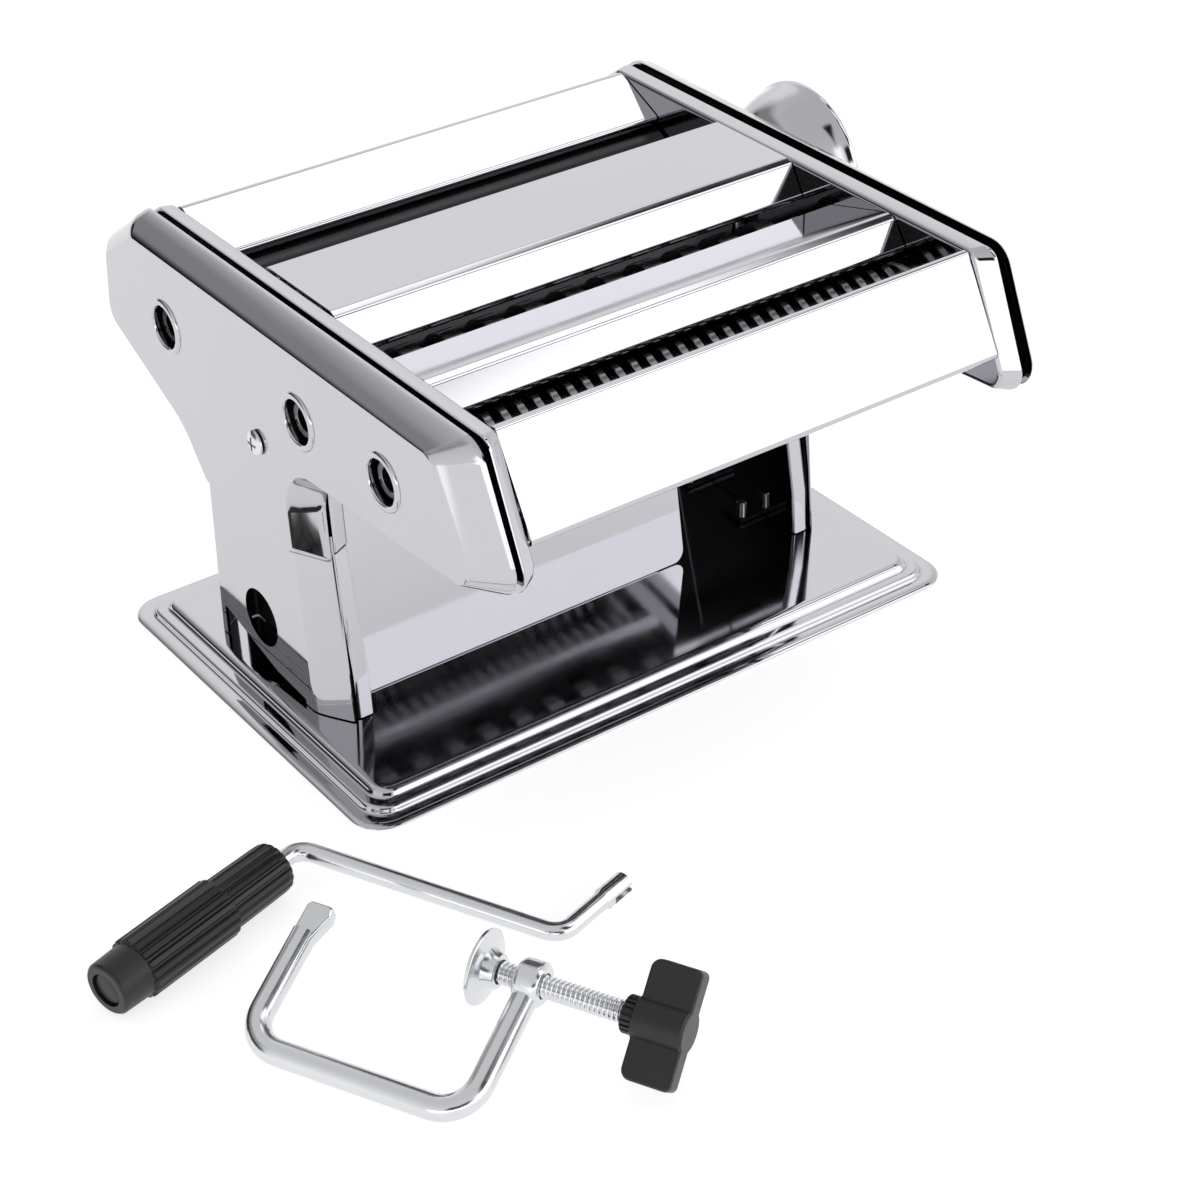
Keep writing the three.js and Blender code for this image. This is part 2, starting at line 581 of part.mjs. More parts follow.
for (const [place, side] of [["left", -1], ["right", 1]]) {
  add(`smooth_bush_${place}`, bush(side, SMOOTH_DRIVE), NYLON);
  add(`wide_bearing_${place}`, bearingBlock(side, WIDE_DRIVE, WIDE_DRIVEN), NYLON);
  add(`narrow_bearing_${place}`, bearingBlock(side, NARROW_DRIVE, NARROW_DRIVEN), NYLON);
}

// ---- scrapers and stripper combs ----
const COMB = { below: 9.6, edge: 12.6, root: 7.6, tip: 2.2, sheet: 1.2, side: 0.4 };

// A flat plate below a cutter with a finger in each groove between its discs.
function comb(strip, first, [y, z], towards) {
  const gap = strip + CUTTER_GAP;
  const [edge, root, tip] = [COMB.edge, COMB.root, COMB.tip].map((reach) => y + reach * towards);
  const points = [[-PANEL_HALF, edge], [-PANEL_HALF, root]];
  for (let x = first + strip - CUTTER_GAP; x + gap < CUTTER_HALF + 0.5; x += 2 * strip) {
    const [left, right] = [x + COMB.side, x + gap - COMB.side];
    points.push([left, root], [left, tip], [right, tip], [right, root]);
  }
  points.push([PANEL_HALF, root], [PANEL_HALF, edge]);
  const plate = new THREE.Shape(points.map(([u, v]) => new THREE.Vector2(u, v)));
  const geometry = new THREE.ExtrudeGeometry(plate, { depth: COMB.sheet, bevelEnabled: false });
  return geometry.translate(0, 0, z - COMB.below);
}

add("wide_comb_rear", comb(WIDE_STRIP, FIRST_DISC_X, WIDE_DRIVE, 1), ZINC);
add("wide_comb_front", comb(WIDE_STRIP, FIRST_DISC_X + WIDE_STRIP, WIDE_DRIVEN, -1), ZINC);
add("narrow_comb_rear", comb(NARROW_STRIP, FIRST_DISC_X, NARROW_DRIVE, 1), ZINC);
add("narrow_comb_front", comb(NARROW_STRIP, FIRST_DISC_X + NARROW_STRIP, NARROW_DRIVEN, -1), ZINC);
add("drive_roller_scraper", bentSheet([[45.4, 85.6], [54, 82.6], [57, 84]], 1.4), NYLON);

// ---- idler yoke, cam and dial ----
const YOKE_X = [70.9, 73.9];

// Two cheeks that carry the idler roller, the bar between them, and the finger that the cam pushes.
function idlerYoke() {
  const [y, z] = SMOOTH_IDLER;
  const cheek = outline([
    [y + 8, z + 8, 7], [y - 8, z + 8, 7], [y - 8, z - 17, 2], [y + 2, z - 20, 2], [y + 8, z - 12, 2],
  ]);
  const cheeks = [-1, 1].map((side) => alongX(cheek, spanOn(side, ...YOKE_X)));
  const bar = bentSheet([[y - 5.6, z - 18.4], [y + 0.4, z - 18.8]], 1.6, YOKE_X[0] + 1);
  const back = CAM_FOLLOWER_Y + CAM_FOLLOWER_DEPTH;
  const finger = block([YOKE_X[0], CAM_X[1] + 0.2], [CAM_FOLLOWER_Y, back], [z - 4, z + 4]);
  const bridge = block(YOKE_X, [y + 6, back], [z - 4, z + 4]);
  const bores = [-1, 1].map((side) => rod(BORE, spanOn(side, 66, 75.5), SMOOTH_IDLER, BEARING_SIDES));
  return cut(join(...cheeks, bar, finger, bridge), ...bores);
}

add("idler_yoke", idlerYoke(), STEEL);
add("idler_scraper", bentSheet([[13.4, 84.9], [5.6, 84.1]], 1, 69.6), NYLON);

// A shaft with a snail cam whose radius grows evenly as the dial turns.
function camShaft() {
  const cam = new THREE.Shape();
  const steps = 28;
  for (let i = 0; i < steps; i += 1) {
    const angle = (-2 * Math.PI * i) / steps;
    const share = Math.min(-angle / DIAL_TURN, (2 * Math.PI + angle) / (2 * Math.PI - DIAL_TURN));
    const radius = CAM_RADIUS + IDLER_TRAVEL * Math.max(0, share);
    const place = [radius * Math.cos(angle), radius * Math.sin(angle)];
    if (i === 0) cam.moveTo(...place);
    else cam.lineTo(...place);
  }
  const disc = alongX(cam, CAM_X).translate(0, ...DIAL_AXIS);
  return join(disc, rod(DIAL_SHAFT, [CAM_X[0], KNOB_X + 12], DIAL_AXIS, 16));
}

add("dial_cam_shaft", camShaft(), STEEL);

const KNOB_BORE = (DIAL_SHAFT + RUNNING_GAP) / Math.cos(Math.PI / 16);
add("dial_knob", turned([
  [0, KNOB_BORE], [0, 15.5], [1.6, 18.4], [4.5, 21.4], [8.5, 23.8], [12.5, 25.2], [16, KNOB_RADIUS],
  [17.4, KNOB_RADIUS], [17.4, 25], [15.4, 22.5], [15, 9], [17.2, 7.5], [17.2, 0], [12.6, 0],
  [12.6, KNOB_BORE], [0, KNOB_BORE],
], 24).translate(KNOB_X, ...DIAL_AXIS), CHROME);

// ---- crank, lying on the table ----
// The grip lies along x with its inner end at 0, and the rod leaves it to +x.
function crankParts() {
  const { rod: radius, gripRadius, gripLength, stub, arm, shaft, lean, fork } = CRANK;
  const angle = THREE.MathUtils.degToRad(lean);
  const riveted = -gripLength + 6; // the rod's end inside the grip
  const wrist = new THREE.Vector3(stub + arm * Math.cos(angle), -arm * Math.sin(angle), 0);
  const tip = wrist.clone().add(new THREE.Vector3(shaft, 0, 0));
  const route = [new THREE.Vector3(riveted, 0, 0), new THREE.Vector3(stub, 0, 0), wrist, tip];
  const head = rod(fork.radius, [tip.x - fork.length, tip.x], [tip.y, 0], 12);
  const collar = rod(CRANK.collar, [riveted - 1, riveted + 0.6], [0, 0], 12);
  const slot = block(
    [tip.x - fork.length + 1, tip.x + 1], [tip.y - 5, tip.y + 5], [-fork.slot, fork.slot],
  );
  const sides = 20;
  const bore = (radius + 0.1) / Math.cos(Math.PI / sides);
  const room = riveted + 1; // depth of the hollow end that takes the collar
  const grip = turned([
    [0, bore], [room, bore], [room, 4.6], [-gripLength, 4.6], [-gripLength, 6.6],
    [-gripLength + 0.8, 7.2], [-gripLength + 9.4, 7.4], [-gripLength + 10, gripRadius],
    [-20.6, gripRadius], [-20, 7.2], [-0.8, 7], [0, 6.4], [0, bore],
  ], sides);
  return { bar: cut(join(bentBar(route, radius, CRANK.bend), head, collar), slot), grip };
}

// The crank turns about its grip's axis until the shaft's end also rests on the table.
const crank = new THREE.Group();
crank.position.set(...CRANK.at, CRANK.gripRadius);
crank.rotation.set(THREE.MathUtils.degToRad(CRANK.tilt), 0, THREE.MathUtils.degToRad(CRANK.turn), "ZYX");
kit.add(crank);
const crankShapes = crankParts();
add("crank_rod", crankShapes.bar, ZINC, crank);
add("crank_grip", crankShapes.grip, BLACK_PLASTIC, crank);

// ---- table clamp, lying on its back with the screw raised ----
// Its own x runs along the back of the C towards the screw's knob, and its own y along the arms.
function clampFrame() {
  const { rod: radius, bend, back, arm } = CLAMP;
  const route = [[0, arm - 6], [0, 0], [back, 0], [back, arm - 3]];
  const bar = bentBar(route.map(([x, y]) => new THREE.Vector3(x, y, 0)), radius, bend);
  const hook = new THREE.ExtrudeGeometry(outline([
    [-2.6, arm - 9, 1], [2.6, arm - 9, 1], [5, arm - 1, 2], [4.4, arm + 2, 1.5], [-2.6, arm + 2, 1.5],
  ]), { depth: 4.4, bevelEnabled: false, curveSegments: 3 }).translate(0, 0, -2.2);
  const eye = rod(CLAMP.eye, [back - radius, back + radius], [arm, 0], 16);
  const hole = rod(CLAMP.screw + 0.35, [back - 6, back + 6], [arm, 0], 14);
  return cut(join(bar, hook, eye), hole);
}

function clampScrewParts() {
  const { back, arm, padAt, screw, wing } = CLAMP;
  const [collarX, knobX, knobEndX] = [CLAMP.collarAt, CLAMP.knobAt, CLAMP.knobEnd].map((x) => back + x);
  const axis = [arm, 0];
  const pad = turned([
    [0, 0], [0, 9.6], [1.2, 9.6], [2, 5.2], [5, 4.4], [5, 3.1], [2.2, 3.1], [2.2, 0],
  ], 20, axis).translate(back - padAt - 2, 0, 0);
  const spindle = join(
    rod(2.2, [back - padAt + 0.6, back - padAt + 3], axis, 12),
    rod(screw, [back - padAt + 2.6, knobX + 8], axis, 14),
  );
  const bore = rod(screw + 0.05, [collarX - 1, knobX + 8.4], axis, 14);
  const blade = new THREE.ExtrudeGeometry(outline([
    [knobX, -wing.half, 3], [knobEndX, -wing.half, 2], [knobEndX, wing.half, 2], [knobX, wing.half, 3],
  ]), { depth: wing.thickness, bevelEnabled: false, curveSegments: 3 });
  blade.translate(0, 0, -wing.thickness / 2);
  blade.rotateX(THREE.MathUtils.degToRad(wing.turn)).translate(0, arm, 0);
  const collar = rod(4.6, [collarX, knobX + 1], axis, 14);
  const hub = rod(5.6, [knobX, knobEndX], axis, 14);
  return { pad, spindle, knob: cut(join(blade, collar, hub), bore) };
}

const clamp = new THREE.Group();
clamp.position.set(...CLAMP.at, CLAMP.rod + 0.1);
clamp.rotation.set(THREE.MathUtils.degToRad(CLAMP.tilt), 0, THREE.MathUtils.degToRad(CLAMP.turn), "ZYX");
kit.add(clamp);
add("clamp_frame", clampFrame(), ZINC, clamp);
const screwShapes = clampScrewParts();
add("clamp_pad", screwShapes.pad, ZINC, clamp);
add("clamp_screw", screwShapes.spindle, ZINC, clamp);
add("clamp_knob", screwShapes.knob, BLACK_PLASTIC, clamp);

// The set's origin is the middle of its footprint, on the table.
const footprint = new THREE.Box3().setFromObject(kit);
kit.position.x = -(footprint.min.x + footprint.max.x) / 2;
kit.position.y = -(footprint.min.y + footprint.max.y) / 2;

export default kit;
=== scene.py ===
"""The looks of a chromed pasta roller machine with its crank and table clamp.

Shapes are written in millimetres in the machine's own axes: x along the rollers towards the dial, y to the
back and z up. The base, its feet and screws, the crank and the clamp count z from the table.
"""

import json
import math

import bmesh
import bpy
from mathutils import Matrix, Vector


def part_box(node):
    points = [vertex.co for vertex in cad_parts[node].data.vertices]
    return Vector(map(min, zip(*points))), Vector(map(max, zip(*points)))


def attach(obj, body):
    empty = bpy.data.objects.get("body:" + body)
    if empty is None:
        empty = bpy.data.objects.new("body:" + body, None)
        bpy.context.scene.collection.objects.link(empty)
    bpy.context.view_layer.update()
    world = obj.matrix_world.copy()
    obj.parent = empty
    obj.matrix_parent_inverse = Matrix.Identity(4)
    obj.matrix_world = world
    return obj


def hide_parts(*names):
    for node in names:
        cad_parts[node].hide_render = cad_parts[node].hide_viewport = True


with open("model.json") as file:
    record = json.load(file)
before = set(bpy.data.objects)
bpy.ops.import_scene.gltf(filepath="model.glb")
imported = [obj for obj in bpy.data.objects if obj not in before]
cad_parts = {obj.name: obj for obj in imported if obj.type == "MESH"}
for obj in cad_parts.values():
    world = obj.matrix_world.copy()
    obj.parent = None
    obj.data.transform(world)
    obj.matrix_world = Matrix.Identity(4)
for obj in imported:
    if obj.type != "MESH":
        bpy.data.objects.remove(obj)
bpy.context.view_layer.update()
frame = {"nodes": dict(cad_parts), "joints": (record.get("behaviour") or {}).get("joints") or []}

# ---- places in the row frame ----
MM = 0.001
base_low, base_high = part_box("base_plate")
base_middle = (base_low + base_high) / 2
LIFT = 2.3  # height of the machine's own datum above the table
TABLE = Matrix.Translation((base_middle.x, base_middle.y, 0)) @ Matrix.Scale(MM, 4)
MACHINE = TABLE @ Matrix.Translation((0, 0, LIFT))


def lying(at, height, turn, tilt):
    """The frame of a piece that lies on the table: turned about z, then tipped about its own x."""
    turned_flat = Matrix.Rotation(math.radians(turn), 4, "Z")
    tipped = Matrix.Rotation(math.radians(tilt), 4, "X")
    return TABLE @ Matrix.Translation((*at, height)) @ turned_flat @ tipped


def hinge_axis(joint):
    """A joint's place as (y, z) in machine millimetres."""
    found = next(j for j in frame["joints"] if j["name"] == joint)
    place = MACHINE.inverted() @ Vector(found["pos_m"])
    return place.y, place.z


SMOOTH_DRIVE = hinge_axis("smooth_drive_spin")
SMOOTH_IDLER = hinge_axis("smooth_idler_spin")
WIDE_DRIVE = hinge_axis("wide_drive_spin")
WIDE_DRIVEN = hinge_axis("wide_driven_spin")
NARROW_DRIVE = hinge_axis("narrow_drive_spin")
NARROW_DRIVEN = hinge_axis("narrow_driven_spin")
DIAL_AXIS = hinge_axis("dial_turn")
DRIVE_AXES = (SMOOTH_DRIVE, WIDE_DRIVE, NARROW_DRIVE)

# ---- dimensions, as in the CAD part ----
INNER_HALF = 75
PANEL_HALF = 74.7
FRAME_SHEET = 1.2
COVER_SHEET = 0.9
FOOT_Z = 4.1
CUTTER_HALF = 73.6
SCREW_ROD = (-5.2, 85.9)
CLAMP_HOLE = (9.3, 21.3)
CLAMP_HOLE_RADIUS = 8.8
STAND_OPENING_X = 40
CRANK = lying((-131.8, -70.8), 8.25, 15.9, 4.1)
CLAMP = lying((-168.3, -118), 3.4, -62.5, 21)


# ---- outlines and meshes ----
def rounded(corners, steps=6):
    """A closed outline through corners (u, v, radius), each rounded by an arc."""
    points = []
    for i, corner in enumerate(corners):
        here = Vector(corner[:2])
        back = (Vector(corners[i - 1][:2]) - here).normalized()
        ahead = (Vector(corners[(i + 1) % len(corners)][:2]) - here).normalized()
        radius = corner[2] if len(corner) > 2 else 0
        if radius == 0:
            points.append(here)
            continue
        half = back.angle(ahead) / 2
        centre = here + (back + ahead).normalized() * (radius / math.sin(half))
        start = here + back * (radius / math.tan(half)) - centre
        end = here + ahead * (radius / math.tan(half)) - centre
        first = math.atan2(start.y, start.x)
        sweep = math.atan2(start.x * end.y - start.y * end.x, start.dot(end))
        for k in range(steps + 1):
            a = first + sweep * k / steps
            points.append(centre + Vector((math.cos(a), math.sin(a))) * radius)
    return points


def grown(points, distance):
    """A closed outline moved outwards, or inwards by a negative distance."""
    area = sum(a.x * b.y - b.x * a.y for a, b in zip(points, points[1:] + points[:1]))
    turn = 1 if area > 0 else -1
    moved = []
    for i, here in enumerate(points):
        before = (here - points[i - 1]).normalized()
        after = (points[(i + 1) % len(points)] - here).normalized()
        along = (before + after).normalized()
        reach = turn * distance / max(along.dot(after), 0.3)
        moved.append(here + Vector((along.y, -along.x)) * reach)
    return moved


def loft(rings, caps=True):
    """Vertices and faces of a skin over rings of equally many points."""
    count = len(rings[0])
    verts = [Vector(p) for ring in rings for p in ring]
    faces = []
    for k in range(len(rings) - 1):
        for i in range(count):
            j = (i + 1) % count
            faces.append((k * count + i, k * count + j, (k + 1) * count + j, (k + 1) * count + i))
    if caps:
        faces.append(tuple(reversed(range(count))))
        faces.append(tuple(range((len(rings) - 1) * count, len(rings) * count)))
    return verts, faces


def closed_loft(rings):
    """A skin whose last ring joins its first, as on a ring or a pan with a sheet's thickness."""
    count = len(rings[0])
    verts, faces = loft(rings, caps=False)
    last = (len(rings) - 1) * count
    faces += [(last + i, last + (i + 1) % count, (i + 1) % count, i) for i in range(count)]
    return verts, faces


def side_ring(x, points):
    return [(x, p[0], p[1]) for p in points]


def turned(profile, sides=64, axis=(0, 0), closed=False):
    """A profile of (x, radius) points turned about a line along x."""
    rings = []
    for x, radius in profile:
        ring = []
        for i in range(sides):
            a = 2 * math.pi * i / sides
            ring.append((x, axis[0] + radius * math.cos(a), axis[1] + radius * math.sin(a)))
        rings.append(ring)
    return closed_loft(rings) if closed else loft(rings)


def fillet_path(corners, steps=10):
    """Points along straight runs joined by arcs at corners (point, bend radius)."""
    points = [Vector(corners[0][0])]
    for i in range(1, len(corners) - 1):
        here, radius = Vector(corners[i][0]), corners[i][1]
        back = (Vector(corners[i - 1][0]) - here).normalized()
        ahead = (Vector(corners[i + 1][0]) - here).normalized()
        half = back.angle(ahead) / 2
        centre = here + (back + ahead).normalized() * (radius / math.sin(half))
        start = here + back * (radius / math.tan(half)) - centre
        end = here + ahead * (radius / math.tan(half)) - centre
        turn = start.angle(end)
        pivot = start.cross(end).normalized()
        for k in range(steps + 1):
            points.append(centre + Matrix.Rotation(turn * k / steps, 3, pivot) @ start)
    points.append(Vector(corners[-1][0]))
    return points


def tube(path, radius, sides=40):
    """A round bar along a path that lies in a plane of constant z."""
    over = Vector((0, 0, 1))
    rings = []
    for i, here in enumerate(path):
        ahead = (path[min(i + 1, len(path) - 1)] - path[max(i - 1, 0)]).normalized()
        side = ahead.cross(over).normalized()
        ring = []
        for k in range(sides):
            a = 2 * math.pi * k / sides
            ring.append(here + side * (radius * math.cos(a)) + over * (radius * math.sin(a)))
        rings.append(ring)
    return loft(rings)


def combined(*parts):
    verts, faces = [], []
    for part_verts, part_faces in parts:
        start = len(verts)
        verts += part_verts
        faces += [tuple(start + i for i in face) for face in part_faces]
    return verts, faces


def box(x, y, z):
    """A block between pairs of limits."""
    low, high = Vector((x[0], y[0], z[0])), Vector((x[1], y[1], z[1]))
    ring = [(low.x, low.y), (high.x, low.y), (high.x, high.y), (low.x, high.y)]
    return loft([[(u, v, low.z) for u, v in ring], [(u, v, high.z) for u, v in ring]])


def mesh_object(name, part, matrix=MACHINE):
    """A mesh object with outward faces, made from millimetres."""
    mesh = bpy.data.meshes.new(name)
    mesh.from_pydata([matrix @ Vector(v) for v in part[0]], [], part[1])
    skin = bmesh.new()
    skin.from_mesh(mesh)
    bmesh.ops.recalc_face_normals(skin, faces=skin.faces)
    skin.to_mesh(mesh)
    skin.free()
    made = bpy.data.objects.new(name, mesh)
    bpy.context.scene.collection.objects.link(made)
    return made


def carve(target, tools, operation="DIFFERENCE"):
    """Cuts or joins the tools, which are meshes in millimetres, and leaves one plain mesh."""
    cutters = [mesh_object("cutter", tool) if isinstance(tool, tuple) else tool for tool in tools]
    for cutter in cutters:
        if target.data.materials and not cutter.data.materials:
            cutter.data.materials.append(target.data.materials[0])
        step = target.modifiers.new("cut", "BOOLEAN")
        step.object = cutter
        step.operation = operation
        step.solver = "EXACT"
        step.material_mode = "TRANSFER"
    depsgraph = bpy.context.evaluated_depsgraph_get()
    result = bpy.data.meshes.new_from_object(target.evaluated_get(depsgraph))
    target.modifiers.clear()
    target.data = result
    for cutter in cutters:
        bpy.data.objects.remove(cutter)
    return target


def finish(made, material, body, nodes, slot, sharp=32):
    """Shades a piece, gives it its body and hides its CAD nodes; slot is not used. sharp is the angle that
    stays an edge.
    """
    mesh = made.data
    # a pressing cut by a room keeps the painted shade on its inside faces
    if PAINTED_SHADE.name not in mesh.materials:
        mesh.materials.clear()
        mesh.materials.append(material)
    mesh.polygons.foreach_set("use_smooth", [True] * len(mesh.polygons))
    mesh.set_sharp_from_angle(angle=math.radians(sharp))
    normals = made.modifiers.new("normals", "WEIGHTED_NORMAL")
    normals.keep_sharp = True
    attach(made, body)
    if nodes:
        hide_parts(*nodes)
    return made


def piece(name, part, material, body, nodes, slot, matrix=MACHINE, **shading):
    return finish(mesh_object(name, part, matrix), material, body, nodes, slot, **shading)


def upright(part, x, y):
    """A part turned about the x axis, stood on end at (x, y)."""
    return [Vector((x + v.y, y + v.z, v.x)) for v in part[0]], part[1]


def bent_sheet(corners, thickness=0.9, half=PANEL_HALF):
    """A sheet bent at corners (y, z, inner bend radius), with rounded edges, swept along x."""
    centre = fillet_path([((0, y, z), radius + thickness / 2) for y, z, radius in corners], steps=6)
    path = [Vector((p.y, p.z)) for p in centre]
    outer, inner = [], []
    for i, here in enumerate(path):
        along = (path[min(i + 1, len(path) - 1)] - path[max(i - 1, 0)]).normalized()
        normal = Vector((-along.y, along.x)) * (thickness / 2)
        outer.append(here + normal)
        inner.append(here - normal)
    ends = []
    for here, beyond in ((path[-1], path[-1] - path[-2]), (path[0], path[0] - path[1])):
        beyond.normalize()
        side = Vector((-beyond.y, beyond.x))
        ends.append([
            here + (side * math.cos(a) + beyond * math.sin(a)) * (thickness / 2)
            for a in (math.pi * k / 6 for k in range(1, 6))
        ])
    ring = outer + ends[0] + inner[::-1] + ends[1]
    return loft([side_ring(-half, ring), side_ring(half, ring)])


def swept(outline, x0, x1):
    """A side-view outline swept along x."""
    return loft([side_ring(x0, outline), side_ring(x1, outline)])


def rod(radius, x0, x1, axis, sides=48):
    return turned([(x0, radius), (x1, radius)], sides, axis)


# ---- materials ----
def surface(name, colour, metallic, roughness, smudge, grain, stretch=(1, 1, 1), tint=0.04, waves=0.0):
    """A material whose roughness is mottled, whose colour varies a little and whose grain is a fine bump.

    smudge is the roughness added by the mottling; grain is (scale per metre, height in metres).
    """
    made = bpy.data.materials.new(name)
    made.use_nodes = True
    tree = made.node_tree
    node = tree.nodes.new
    link = tree.links.new
    shader = tree.nodes["Principled BSDF"]
    shader.inputs["Metallic"].default_value = metallic
    place = node("ShaderNodeTexCoord").outputs["Object"]

    mottle = node("ShaderNodeTexNoise")
    mottle.inputs["Scale"].default_value = 34
    mottle.inputs["Detail"].default_value = 5
    mottle.inputs["Roughness"].default_value = 0.62
    link(place, mottle.inputs["Vector"])
    spread = node("ShaderNodeMapRange")
    spread.inputs["From Min"].default_value = 0.38
    spread.inputs["From Max"].default_value = 0.72
    spread.inputs["To Min"].default_value = roughness
    spread.inputs["To Max"].default_value = roughness + smudge
    link(mottle.outputs["Fac"], spread.inputs["Value"])
    link(spread.outputs["Result"], shader.inputs["Roughness"])

    mix = node("ShaderNodeMix")
    mix.data_type = "RGBA"
    mix.inputs["A"].default_value = (*[c * (1 - tint) for c in colour], 1)
    mix.inputs["B"].default_value = (*[min(1, c * (1 + tint)) for c in colour], 1)
    link(mottle.outputs["Fac"], mix.inputs["Factor"])
    link(mix.outputs["Result"], shader.inputs["Base Color"])

    mapping = node("ShaderNodeMapping")
    mapping.inputs["Scale"].default_value = stretch
    link(place, mapping.inputs["Vector"])
    fine = node("ShaderNodeTexNoise")
    fine.inputs["Scale"].default_value = grain[0]
    fine.inputs["Detail"].default_value = 3
    link(mapping.outputs["Vector"], fine.inputs["Vector"])
    bump = node("ShaderNodeBump")
    bump.inputs["Strength"].default_value = 1
    bump.inputs["Distance"].default_value = grain[1]
    link(fine.outputs["Fac"], bump.inputs["Height"])
    if waves:
        swell = node("ShaderNodeTexNoise")
        swell.inputs["Scale"].default_value = 14
        swell.inputs["Detail"].default_value = 1
        link(place, swell.inputs["Vector"])
        broad = node("ShaderNodeBump")
        broad.inputs["Strength"].default_value = 1
        broad.inputs["Distance"].default_value = waves
        link(swell.outputs["Fac"], broad.inputs["Height"])
        link(broad.outputs["Normal"], bump.inputs["Normal"])
    link(bump.outputs["Normal"], shader.inputs["Normal"])
    return made


CHROME = surface("chrome", (0.54, 0.535, 0.565), 1, 0.045, 0.05, (900, 2e-7), tint=0.02, waves=9e-5)
GROUND = surface("ground_steel", (0.52, 0.52, 0.54), 1, 0.16, 0.1, (260, 1.2e-5), stretch=(6, 1, 1))
# painted shade: a near-black steel put on inside faces, the stand's rear wall and the comb plates, where they
# lie in shade
PAINTED_SHADE = surface("painted_shade_steel", (0.03, 0.03, 0.032), 1, 0.5, 0.2, (900, 1e-5), tint=0.1)
# painted shade: the ground-steel rollers darkened to near black, standing in for the shade on them under the
# hopper
PAINTED_SHADE_ROLLER = surface("roller_steel_painted_shade", (0.045, 0.045, 0.048), 1, 0.22, 0.1, (260, 1.2e-5), stretch=(6, 1, 1))
# painted shade: the cutters' steel darkened, standing in for the shade inside their slots
PAINTED_SHADE_CUTTER = surface("cutter_steel_painted_shade", (0.2, 0.2, 0.21), 1, 0.2, 0.1, (260, 1.2e-5), stretch=(6, 1, 1))
ZINC = surface("zinc_plating", (0.70, 0.71, 0.73), 1, 0.14, 0.14, (700, 1.2e-5), tint=0.07)
PLASTIC = surface("black_plastic", (0.005, 0.005, 0.0055), 0, 0.34, 0.12, (2600, 1.6e-5), tint=0.15)
NYLON = surface("nylon", (0.80, 0.79, 0.75), 0, 0.42, 0.12, (1500, 1.5e-5))
RUBBER = surface("rubber", (0.02, 0.02, 0.02), 0, 0.7, 0.15, (1800, 3e-5), tint=0.2)

# ---- base ----
BASE_HALF = (102.6, 68.6)
BASE_CORNER = 10
BASE_SHEET = 1.2
SCREW_PLACES = [(x, y) for x in (-70.5, 70.5) for y in (-8, 18)]
# (inset from the outline, height above the table) up the pressed steps to the platform
BASE_STEPS = [
    (0.15, 0.72), (0, 0.82), (0.02, 1.0), (0.15, 1.22), (0.5, 1.44), (1.1, 1.63), (1.9, 1.76), (2.7, 1.8),
    (3.9, 1.8), (4.25, 1.9), (4.5, 2.2), (4.7, 2.8), (4.9, 3.35), (5.2, 3.65), (5.7, 3.8), (7.6, 3.8),
    (8.0, 3.9), (8.3, 4.2), (8.6, 4.8), (8.9, 5.35), (9.4, 5.72), (10.2, 5.93), (11.4, 6.0),
]
RIM_STEPS = 10  # the steps that make the rim, which has no hollow under it


def base_ring(inset, height):
    x, y = BASE_HALF[0] - inset, BASE_HALF[1] - inset
    r = BASE_CORNER - inset / 2
    corners = [(-x, -y, r), (x, -y, r), (x, y, r), (-x, y, r)]
    return [(p.x, p.y, height) for p in rounded(corners, steps=12)]


def base_plate():
    rings = [base_ring(inset, height) for inset, height in BASE_STEPS]
    under = [base_ring(inset + 0.9, height - BASE_SHEET) for inset, height in BASE_STEPS[RIM_STEPS:]]
    rim = [base_ring(3.9, 0.6), base_ring(0.6, 0.6)]
    skin = loft(list(reversed(under)) + rim + rings)
    plate = mesh_object("base_plate_pressing", skin, TABLE)
    tools = [upright(rod(1.9, 0, 9, (0, 0), 24), x, y) for x, y in SCREW_PLACES]
    return carve(plate, [mesh_object("hole", tool, TABLE) for tool in tools])


finish(base_plate(), CHROME, "machine", ["base_plate"], "chromed_steel", sharp=40)

FOOT_PROFILE = [
    (4.5, 0), (4.5, 7.2), (3.6, 7.4), (3.3, 7.0), (2.8, 7.0), (2.4, 7.5), (1.9, 7.7), (1.5, 7.3),
    (1.1, 7.4), (0.8, 7.9), (0.3, 8.0), (0, 7.6), (0, 5.2), (0.7, 4.8), (0.7, 0),
]
for i, (x, y) in enumerate([(-78, -44), (78, -44), (-78, 44), (78, 44)]):
    name = f"rubber_foot_{i + 1}"
    piece(name + "_pad", upright(turned(FOOT_PROFILE), x, y), RUBBER, "machine", [name], "rubber", TABLE)
for i, (x, y) in enumerate(SCREW_PLACES):
    name = f"base_screw_{i + 1}"
    profile = [(2.5, 0), (2.5, 2.4), (2.9, 3.0), (4.5, 3.2), (4.5, 1.6), (9.9, 1.6), (10.3, 1.2), (10.3, 0)]
    screw = mesh_object(name + "_turned", upright(turned(profile, 32), x, y), TABLE)
    slots = [box((x - a, x + a), (y - b, y + b), (2, 3.4)) for a, b in ((2, 0.4), (0.4, 2))]
    carve(screw, [mesh_object("slot", slot, TABLE) for slot in slots])
    finish(screw, ZINC, "machine", [name], "zinc_plated_steel")

# ---- side frames and covers ----
CORNER_STEPS = 8  # straight steps in each rounded corner of a pressing
